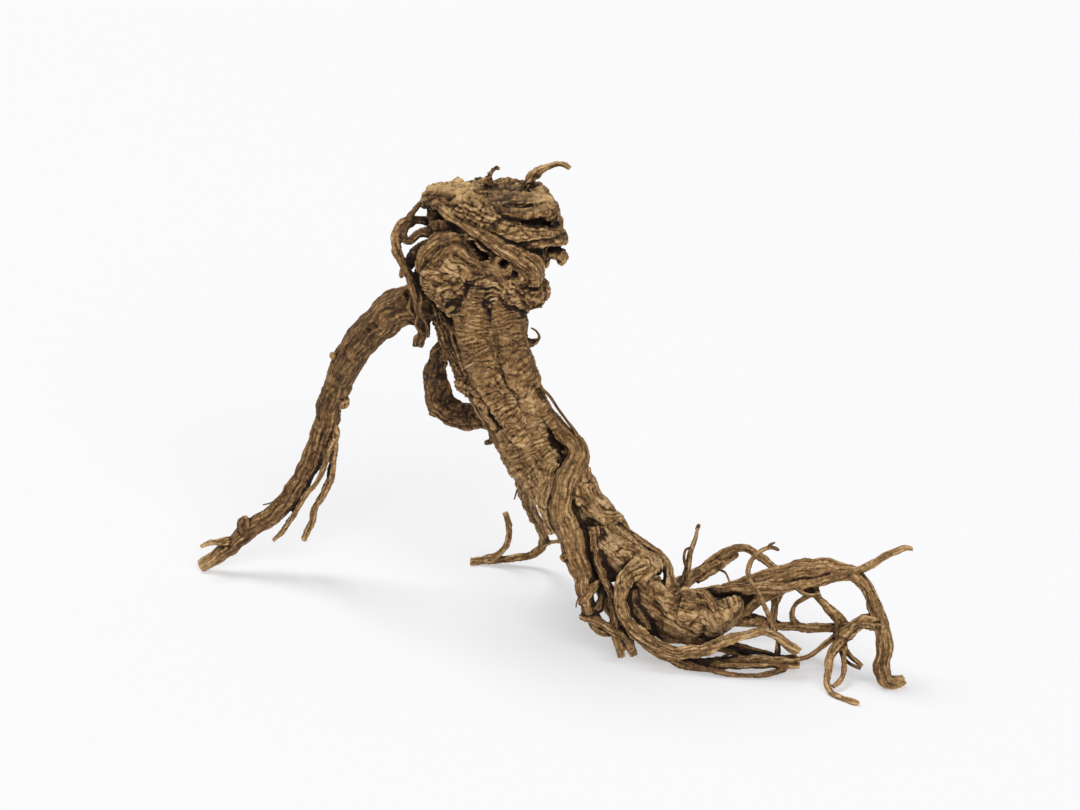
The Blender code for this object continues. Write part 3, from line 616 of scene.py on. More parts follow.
def shapeHairs(piece, strands):
    # Fibres too thin for the common skin keep their own tubes
    points, faces = joinTubes(strands)
    faces = np.column_stack((faces, faces[:, 2]))
    rows = rowsOn(points, strands)
    place = np.zeros((len(points), 3))
    place[rows["point"]] = np.column_stack((rows["x"], rows["y"], rows["s"]))
    plain = np.zeros(len(points))
    pale = np.isin(rows["strand"], [k for k, strand in enumerate(strands) if strand["name"] in piece["pale"]])
    values = {"height": plain, "hollow": plain, "tone": plain + 0.5, "around": plain,
              "cutWood": 0.5 * np.minimum(np.bincount(rows["point"], pale, len(points)), 1)}
    return {"piece": piece, "points": points, "faces": faces, "normals": normalsOf(points, faces),
            "place": place, "values": values}


def buildPiece(shape):
    piece, faces = shape["piece"], shape["faces"]
    low, high = np.array(cadLow) / mm + 0.02, np.array(cadHigh) / mm - 0.02
    low[2] = 0
    points = np.clip(shape["points"], low, high) * mm
    middle = points[faces].mean(axis=1)[:, 2] / mm
    for name, (bottom, top) in piece["parts"].items():
        inside = faces[(middle >= bottom) & (middle < top)]
        if (inside[:, 2] == inside[:, 3]).all():
            inside = inside[:, :3]
        used, index = np.unique(inside, return_inverse=True)
        mesh = makeMesh(name, points[used], index.reshape(inside.shape))
        mesh.shade_smooth()
        addValues(mesh, "place", shape["place"][used], "FLOAT_VECTOR")
        for key, values in shape["values"].items():
            addValues(mesh, key, values[used])
        made = bpy.data.objects.new(name, mesh)
        bpy.context.scene.collection.objects.link(made)
        mesh.materials.append(driedBark)
        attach(made, "root")
        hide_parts("root")
        print(name, "dressed:", len(inside) * (inside.shape[1] - 2), "triangles")


def brokenTop(top, points, normals):
    # The broken wood on the crown, palest where the newest breaks are, with fibres that run back
    high = smoothStep(top["from"], top["to"], points[:, 2]) * smoothStep(0.25, 0.6, normals[:, 2])
    pale = sum(share * np.exp(-((points[:, 0] - x) / wide) ** 2 - ((points[:, 1] - y) / deep) ** 2)
               for x, y, wide, deep, share in top["paleSpots"])
    rough = ((creases(points / (17, 5, 12), 2.4) - 0.6) * (1.5 - 0.8 * np.clip(pale, 0, 1))
             + (creases(points / (1.6, 6.0, 6.0) + 7.0, 3.5) - 0.6) * 0.5)
    pale = np.clip((pale + top["elsewhere"]) * (0.95 + 0.9 * noise(points / 4.0)), 0, 1)
    return high * pale, high * rough, high * (1 - pale) * top["dusk"]


# Materials

def addNode(tree, kind, inputs=None, **settings):
    node = tree.nodes.new(kind)
    for key, value in settings.items():
        setattr(node, key, value)
    for key, value in (inputs or {}).items():
        if isinstance(value, bpy.types.NodeSocket):
            tree.links.new(value, node.inputs[key])
        else:
            node.inputs[key].default_value = value
    return node


def newGroup(name, inputs, outputs):
    # An input without a value is a vector, and every output is a value
    group = bpy.data.node_groups.new(name, "ShaderNodeTree")
    for title, value in inputs.items():
        kind = "NodeSocketVector" if value is None else "NodeSocketFloat"
        socket = group.interface.new_socket(title, in_out="INPUT", socket_type=kind)
        if value is not None:
            socket.default_value = value
    for title in outputs:
        group.interface.new_socket(title, in_out="OUTPUT", socket_type="NodeSocketFloat")
    return group, group.nodes.new("NodeGroupInput"), group.nodes.new("NodeGroupOutput")


def math2(tree, operation, a, b, clamp=False):
    return addNode(tree, "ShaderNodeMath", {0: a, 1: b}, operation=operation, use_clamp=clamp).outputs[0]


def remap(tree, value, fromLow, fromHigh, toLow=0.0, toHigh=1.0):
    node = addNode(tree, "ShaderNodeMapRange", {"Value": value, "From Min": fromLow, "From Max": fromHigh,
                                                "To Min": toLow, "To Max": toHigh})
    return node.outputs["Result"]


def mixColours(tree, factor, a, b, blend="MIX"):
    node = addNode(tree, "ShaderNodeMix", data_type="RGBA", blend_type=blend, clamp_factor=True)
    for socket, value in ((node.inputs[0], factor), (node.inputs[6], a), (node.inputs[7], b)):
        if isinstance(value, bpy.types.NodeSocket):
            tree.links.new(value, socket)
        else:
            socket.default_value = value
    return node.outputs[2]


def colourRamp(tree, factor, stops):
    node = addNode(tree, "ShaderNodeValToRGB", {"Fac": factor})
    ramp = node.color_ramp
    while len(ramp.elements) < len(stops):
        ramp.elements.new(0.5)
    for element, (position, colour) in zip(ramp.elements, stops):
        element.position = position
        element.color = (*colour, 1.0)
    return node.outputs["Color"]


def softNoise(tree, vector, scale, detail, roughness, distortion=0.0):
    return addNode(tree, "ShaderNodeTexNoise", {"Vector": vector, "Scale": scale, "Detail": detail,
                                                "Roughness": roughness,
                                                "Distortion": distortion}).outputs["Fac"]


def makeGrain():
    # Fibres along a root or around it, mottling, specks and thin cracks, from the place on the root in mm
    group, given, out = newGroup("barkGrain", {"Place": None, "Around": 0.0},
                                 ("Fibres", "Mottle", "Specks", "Cracks"))
    place, around = given.outputs["Place"], given.outputs["Around"]
    grains, cracks = [], []
    for squeeze in ((1.0, 1.0, 0.14), (0.22, 0.22, 1.0)):
        pulled = addNode(group, "ShaderNodeVectorMath", {0: place, 1: squeeze}, operation="MULTIPLY")
        pulled = pulled.outputs[0]
        grains.append(softNoise(group, pulled, 1.05, 6.0, 0.68, 0.3))
        lines = softNoise(group, pulled, 0.62, 3.0, 0.6, 0.5)
        gap = math2(group, "ABSOLUTE", math2(group, "SUBTRACT", lines, 0.5), 0.0)
        cracks.append(remap(group, gap, 0.028, 0.002))
    mottle = softNoise(group, place, 0.14, 4.0, 0.6)
    specks = softNoise(group, place, 0.75, 6.0, 0.72)
    patches = remap(group, mottle, 0.42, 0.56)
    for title, (along, across) in (("Fibres", grains), ("Cracks", cracks)):
        change = math2(group, "MULTIPLY", around, math2(group, "SUBTRACT", across, along))
        mixed = math2(group, "ADD", along, change)
        if title == "Cracks":
            mixed = math2(group, "MULTIPLY", mixed, patches)
        group.links.new(mixed, out.inputs[title])
    group.links.new(mottle, out.inputs["Mottle"])
    group.links.new(specks, out.inputs["Specks"])
    return group


def makePaintedShade():
    # Painted shade: how dark a place is painted in its creases, in the gaps between roots and in low places;
    # and lighter again on raised tops, partly wear and partly painted highlight
    group, given, out = newGroup("paintedShade", {"Height": 0.0, "Hollow": 0.0, "Deep": 0.0}, ("Shade", "WearAndHighlight"))
    crease = remap(group, given.outputs["Hollow"], 0.05, 0.70, 0.0, 0.92)
    well = remap(group, given.outputs["Deep"], 0.05, 0.85, 0.0, 0.95)
    low = remap(group, given.outputs["Height"], -0.3, -1.6, 0.0, 0.7)
    shade = math2(group, "MAXIMUM", math2(group, "MAXIMUM", crease, well), low)
    group.links.new(shade, out.inputs["Shade"])
    # Raised tops painted lighter: partly wear, partly painted highlight
    group.links.new(remap(group, given.outputs["Hollow"], -0.05, -0.8), out.inputs["WearAndHighlight"])
    return group


barkGrain = makeGrain()
paintedShade = makePaintedShade()

bark = {
    "stops": [(0.0, (0.030, 0.0150, 0.0065)), (0.25, (0.092, 0.046, 0.018)), (0.5, (0.212, 0.111, 0.040)),
              (0.75, (0.385, 0.221, 0.086)), (1.0, (0.690, 0.455, 0.225))],
    # gap is the dark brown that cracks and the painted shade darken the colour towards
    "gap": (0.050, 0.030, 0.019, 1.0),
    "redBrown": (0.190, 0.080, 0.032, 1.0),
    "greyBrown": (0.180, 0.130, 0.085, 1.0),
    "woodStops": [(0.0, (0.230, 0.115, 0.038)), (0.4, (0.560, 0.340, 0.135)), (1.0, (0.880, 0.635, 0.320))],
    "shadeAndHighlightByHeight": 0.12,
    "byFibres": (0.3, 0.7, 0.36),
    "byMottle": (0.3, 0.7, 0.20),
    "bySpecks": (0.35, 0.65, 0.12),
    "byWearAndHighlight": 0.34,
    "crackShare": 0.7,
    "rough": (0.95, 0.70),
    "specular": 0.3,
    "bumpHeight": 0.00035,
}


def makeBark():
    material = bpy.data.materials.new("driedBark")
    material.use_nodes = True
    tree = material.node_tree
    shader = tree.nodes["Principled BSDF"]
    seen = {name: addNode(tree, "ShaderNodeAttribute", attribute_name=name)
            for name in ("place", "height", "hollow", "deep", "tone", "around", "cutWood")}
    value = {name: node.outputs["Fac"] for name, node in seen.items()}
    grain = addNode(tree, "ShaderNodeGroup", node_tree=barkGrain)
    tree.links.new(seen["place"].outputs["Vector"], grain.inputs["Place"])
    tree.links.new(value["around"], grain.inputs["Around"])
    shade = addNode(tree, "ShaderNodeGroup", node_tree=paintedShade)
    for title, name in (("Height", "height"), ("Hollow", "hollow"), ("Deep", "deep")):
        tree.links.new(value[name], shade.inputs[title])
    fibres, mottle, specks, cracks = (grain.outputs[k] for k in ("Fibres", "Mottle", "Specks", "Cracks"))
    # Painted shade and highlight: low bark is painted darker and raised bark lighter
    light = math2(tree, "ADD", math2(tree, "MULTIPLY", value["height"], bark["shadeAndHighlightByHeight"]), value["tone"])
    for mask, (low, high, share) in ((fibres, bark["byFibres"]), (mottle, bark["byMottle"]),
                                     (specks, bark["bySpecks"])):
        light = math2(tree, "ADD", light, remap(tree, mask, low, high, -share, share))
    # Raised tops painted lighter: partly wear, partly painted highlight
    wearAndHighlight = math2(tree, "MULTIPLY", shade.outputs["WearAndHighlight"], bark["byWearAndHighlight"])
    light = math2(tree, "ADD", light, wearAndHighlight, clamp=True)
    colour = colourRamp(tree, light, bark["stops"])
    colour = mixColours(tree, remap(tree, mottle, 0.52, 0.72, 0.0, 0.5), colour, bark["redBrown"])
    colour = mixColours(tree, remap(tree, specks, 0.55, 0.75, 0.0, 0.18), colour, bark["greyBrown"])
    wood = colourRamp(tree, remap(tree, fibres, 0.25, 0.75), bark["woodStops"])
    colour = mixColours(tree, value["cutWood"], colour, wood)
    # Cracks darken the colour, and painted shade darkens it in creases, gaps between roots and low places
    for dark in (math2(tree, "MULTIPLY", cracks, bark["crackShare"]), shade.outputs["Shade"]):
        colour = mixColours(tree, dark, colour, bark["gap"], blend="MULTIPLY")
    tree.links.new(colour, shader.inputs["Base Color"])
    tree.links.new(remap(tree, specks, 0.3, 0.7, *bark["rough"]), shader.inputs["Roughness"])
    shader.inputs["Specular IOR Level"].default_value = bark["specular"]
    ripple = math2(tree, "ADD", fibres, math2(tree, "MULTIPLY", specks, 0.7))
    ripple = math2(tree, "SUBTRACT", ripple, math2(tree, "MULTIPLY", cracks, 0.5))
    bump = addNode(tree, "ShaderNodeBump", {"Height": ripple, "Distance": bark["bumpHeight"],
                                            "Strength": 1.0})
    tree.links.new(bump.outputs["Normal"], shader.inputs["Normal"])
    return material


driedBark = makeBark()
print("bark mixed")


# The pieces, each with its roots drawn on the sheet

crown = {
    "name": "crown", "voxel": 0.42, "step": 0.6, "look": "folded", "fuse": 4, "paleTips": 0.0,
    "parts": {"crown": (138, 999), "lowerCrown": (-999, 138)},
    "paleEnds": {"topRoot": (2.5, 0.5), "flap": (3.0, 0.35), "loopTwig": (1.5, 0.4)},
    "cutTop": {"from": 152.5, "to": 155.0, "elsewhere": 0.06, "dusk": 0.16,
        "paleSpots": [(-31, 20, 12.5, 18, 1.5), (3.5, 18, 7, 18, 1.1)]},
    "looks": {"crownCore": "core", "cutBlock": "shaded", "rightBlock": "core", "backBlock": "core",
        "leftSwelling": "mound", "rightSwelling": "mound", "shoulderFold": "banded", "nestedFold": "banded",
        "chunk": "folded", "foldUpper": "lips", "foldLower": "lips", "flap": "lips",
        "loopRoot": ("fine", "dusky", 0.3, 0.6), "innerLoop": "dusky", "loopTwig": "dusky",
        "topTwig": "charred", "topRoot": "fine", "strapRoot": "dusky", "crossingStem": "stem",
        "leftMass": "flowing", "middleMass": "mound", "holeRing": "folded", "lowRing": "folded",
        "edgeLumps": "knotty", "hangingRoot": "dusky", "jointRoot": "dusky", "rimFront": "lips",
        "cutBump": "core", "rimBack": "wall", "foldBack": "wall", "shoulderBack": "wall", "backFill": "wall",
        "lowBackFill": "wall"},
    "laidOver": ("rimFront", "chunk", "foldUpper", "foldLower", "crossingStem", "flap", "loopRoot",
        "innerLoop", "loopTwig", "strapRoot", "topTwig", "topRoot", "holeRing", "lowRing", "hangingRoot",
        "jointRoot", "shoulderFold", "nestedFold"),
    "gouges": {
        "underRim": [(-43, 160.5, 60, 3.2), (-39, 161.5, 55, 3.6), (-35.5, 161.8, 52.5, 3.5),
            (-32.5, 160.5, 51, 2.6)],
        "underFrontRim": [(-18.5, 161.4, 46, 0.7), (-14, 159, 45, 1.5), (-9, 157.6, 45, 2.1),
            (-3, 157.5, 46, 2.2), (2, 157.6, 50, 2.2), (5.5, 157.8, 58, 2)],
        "underFolds": [(-6, 148.6, 47, 1.3), (2, 148, 49, 2), (8.5, 148.6, 57, 2.2)],
        "underStem": [(-33, 150.5, 48, 1.1), (-28, 150.6, 47, 1.9), (-23, 148.3, 46.5, 2.3),
            (-18.5, 144.8, 46.5, 2.2), (-15.5, 142, 47.5, 1.4)],
        "smallHole": [(-13.2, 143.3, 44, 1.2), (-12.8, 143, 52, 1)],
        "lowHole": [(-9, 139.8, 45, 0.9), (-9, 139.6, 51, 0.8)],
        "lowGroove": [(-10.5, 135.7, 46, 0.8), (-7, 135.8, 46.5, 1), (-3, 135.4, 48.5, 1)],
        "topHole": [(-4.5, 168.5, 62, 1), (-3.5, 168, 72, 0.9)],
    },
    "strands": {
        "crownCore": [(-18, 129.5, 65, 14), (-18, 134, 65, 17), (-18, 139.5, 65, 18.5), (-17, 149, 66, 20),
            (-16.5, 158, 66, 20.5), (-16.5, 164, 67, 19.5), (-17, 167.5, 67, 17)],
        "cutBlock": [(-29, 154, 60, 9), (-30, 161, 59, 10), (-30.5, 167, 58, 9.8), (-30.5, 170.5, 58, 8.6)],
        "rightBlock": [(-6, 152, 58, 10), (-4.5, 159, 58, 10.5), (-4, 164, 58, 10), (-4, 167, 58, 8.6)],
        "backBlock": [(-17, 158, 76, 12), (-17, 166, 77, 11.5), (-17, 170.5, 77, 9.5)],
        "rimFront": [(-39.5, 164, 68, 2.4), (-38.5, 166.4, 56, 2.6), (-31.5, 167, 50, 2.6),
            (-24, 165, 48.5, 2.6), (-17, 162.2, 45.5, 2.3), (-10.5, 160.4, 44, 2.2), (-2, 161, 45.5, 2.3),
            (3, 161.6, 53, 2.4), (4, 163.4, 64, 2)],
        "chunk": [(-28.8, 164, 51.5, 3), (-24.5, 162, 47.5, 3.8), (-20, 159.8, 46, 3.8),
            (-16, 157.8, 45.5, 3.2), (-12.5, 155.8, 45, 2.6)],
        "foldUpper": [(-22, 159.4, 46, 2.2), (-18, 157.6, 44.5, 2.5), (-12, 155, 43.2, 2.7),
            (-6, 153.8, 43, 2.7), (2, 153.7, 46.5, 2.7), (6.4, 154, 55, 2.5), (4, 156.5, 68, 2)],
        "foldLower": [(-15, 151.8, 47, 2), (-5, 150.8, 44.5, 2.4), (3.5, 151, 48.5, 2.6),
            (7.6, 151.6, 57, 2.5), (7, 154, 68, 2)],
        "flap": [(2.5, 147, 57, 2.4), (6.2, 146.3, 56, 2.8), (8, 144.6, 56, 2), (7, 142.4, 56, 1.3)],
        "rimBack": [(3, 164, 70, 2), (0, 167, 83, 2.8), (-12, 169.4, 91, 3), (-26, 169.8, 90, 3.1),
            (-37, 167.5, 78, 2.6)],
        "foldBack": [(5, 156, 66, 2), (2, 160, 82, 3), (-10, 162, 91, 3.2), (-25, 162, 90, 3),
            (-37, 159, 76, 2.4)],
        "backFill": [(3, 160.5, 74, 2.6), (0, 163.5, 83, 3.2), (-11, 166, 89.5, 3.3),
            (-25.5, 166.2, 88.5, 3.3), (-37, 163.5, 76, 2.8)],
        "lowBackFill": [(3, 151.5, 72, 3.6), (-2, 155, 82.5, 4), (-14, 156.5, 88.5, 4), (-28, 156, 85.5, 4),
            (-37.5, 153.5, 75, 3.2)],
        "shoulderBack": [(2, 146, 70, 4), (-6, 149, 82, 5), (-20, 150, 86, 5.5), (-34, 147, 78, 4.5)],
        "crossingStem": [(-37.5, 165, 54, 1.5), (-32, 161, 49, 1.9), (-26, 156.5, 45, 2.3),
            (-19, 152.5, 42.5, 3), (-11.5, 148, 42.5, 3.8), (-5.2, 143.5, 44.5, 4.4), (-2.6, 139, 48, 4.4),
            (-4, 134.5, 52, 4)],
        "leftSwelling": [(-33, 147, 60, 7), (-32.5, 139, 55, 8.6), (-30.5, 132.5, 55, 7.4),
            (-28, 128, 58, 4.5)],
        "rightSwelling": [(-8, 145, 58, 9), (-8.5, 137, 55, 9), (-9, 131.5, 56, 8), (-9.5, 128.5, 59, 5.5)],
        "leftMass": [(-37, 147.5, 58, 5), (-31, 144.5, 53.5, 6.3), (-25.5, 141, 53.5, 6.3),
            (-23, 137, 56, 6)],
        "middleMass": [(-19, 142, 55, 5.5), (-15.5, 136.5, 53.5, 6), (-13.5, 131, 54.5, 6),
            (-14, 127.5, 58, 5)],
        "jointRoot": [(-46, 137.5, 60, 1), (-44.8, 132, 59.5, 0.9), (-45.6, 127.5, 60.5, 0.9),
            (-42.5, 124, 61.5, 0.9), (-38, 122.6, 62, 0.8)],
        "holeRing": [(-15.6, 142.3, 45.5, 1.2), (-14.6, 145, 43.5, 1.3), (-11.9, 145.6, 42.5, 1.4),
            (-10.2, 143.3, 43, 1.4), (-11.3, 140.7, 44, 1.4), (-14.4, 140.3, 45, 1.2)],
        "lowRing": [(-11.2, 139.4, 46, 1.2), (-9.5, 141.9, 44.5, 1.3), (-6.8, 141, 44.5, 1.5),
            (-6.2, 138.2, 46, 1.5), (-8.4, 137, 47.5, 1.3)],
        "edgeLumps": [(-7, 134.5, 49, 3.2), (-3, 132, 50.5, 3.4), (-1.2, 135.5, 52, 2.6),
            (-2.2, 129, 54, 2.6)],
        "hangingRoot": [(-42, 139, 58, 1.2), (-44.2, 132, 59, 1), (-42.6, 126, 60, 1.1),
            (-43.4, 121.5, 61, 0.9), (-41.3, 118.5, 62, 0.7)],
        "cutBump": [(-29.5, 168, 66, 3), (-28.8, 171.5, 66, 2.4), (-28, 173.2, 66, 1.5)],
        "rightKnob": [(-6, 138, 54, 4), (-1.5, 133.5, 54, 3.4), (-2, 130, 55, 2.4)],
        "shoulderFold": [(-37, 135, 57, 3.4), (-40.3, 141.5, 55.5, 3.2), (-39.3, 147, 53, 3.2),
            (-35, 150.8, 51.5, 3), (-29, 152, 50.5, 2.6), (-24, 150.5, 50.5, 2)],
        "nestedFold": [(-36.5, 141, 51, 1.8), (-34, 146.3, 49.2, 1.9), (-30, 148.6, 48.4, 1.9),
            (-25.5, 146.8, 48, 1.9), (-21, 143.6, 47.8, 1.9), (-16, 140, 48.5, 1.9)],
        "loopRoot": [(-35, 156, 70, 1.6), (-41, 158, 68, 1.7), (-45.5, 157.7, 65, 1.7), (-49, 155.7, 62, 1.7),
            (-50.6, 152, 60, 1.7), (-49.6, 147, 58, 1.8), (-47.6, 142, 57, 1.7), (-45.4, 136.5, 56, 1.7),
            (-43.6, 130, 58, 1.4), (-42.2, 124, 61, 1.1), (-41.2, 119.5, 63, 1.4), (-42.2, 116, 64, 2.1),
            (-42.4, 113.8, 64, 1.8)],
        "innerLoop": [(-36, 154, 56, 1.5), (-42, 153.5, 56, 1.5), (-45.5, 150.5, 57, 1.6),
            (-47.7, 152, 59, 1.3), (-47.3, 155.3, 62, 1.2), (-44.5, 157.8, 65, 1.2)],
        "loopTwig": [(-46.8, 157.5, 64, 1.1), (-44.5, 161, 64, 0.95), (-41.8, 164.3, 64, 0.8)],
        "sideStub": [(-38, 148, 62, 3), (-43, 146, 62, 2.8), (-46.5, 142, 62, 2), (-49, 138.3, 63, 1.1)],
        "strapRoot": [(-40, 146, 59, 1.4), (-42.6, 139, 57.5, 1.3), (-41.3, 132, 57, 1.2),
            (-41.9, 126.5, 58, 1.1), (-39.4, 121.5, 60, 1.1), (-39.2, 117, 61, 0.9)],
        "topTwig": [(-18.2, 169.5, 74, 1.9), (-17.4, 173.6, 74, 1.4), (-16.2, 176.6, 74, 1),
            (-14.8, 176.6, 72.5, 0.8), (-14.2, 175.2, 72, 0.5)],
        "topRoot": [(-7, 168, 70, 1.6), (-4, 172, 70, 1.4), (0, 175.3, 70, 1.25), (5, 177.6, 69, 1.15),
            (8.5, 177.6, 68, 1.1), (10.6, 176.2, 67, 1)],
    },
}

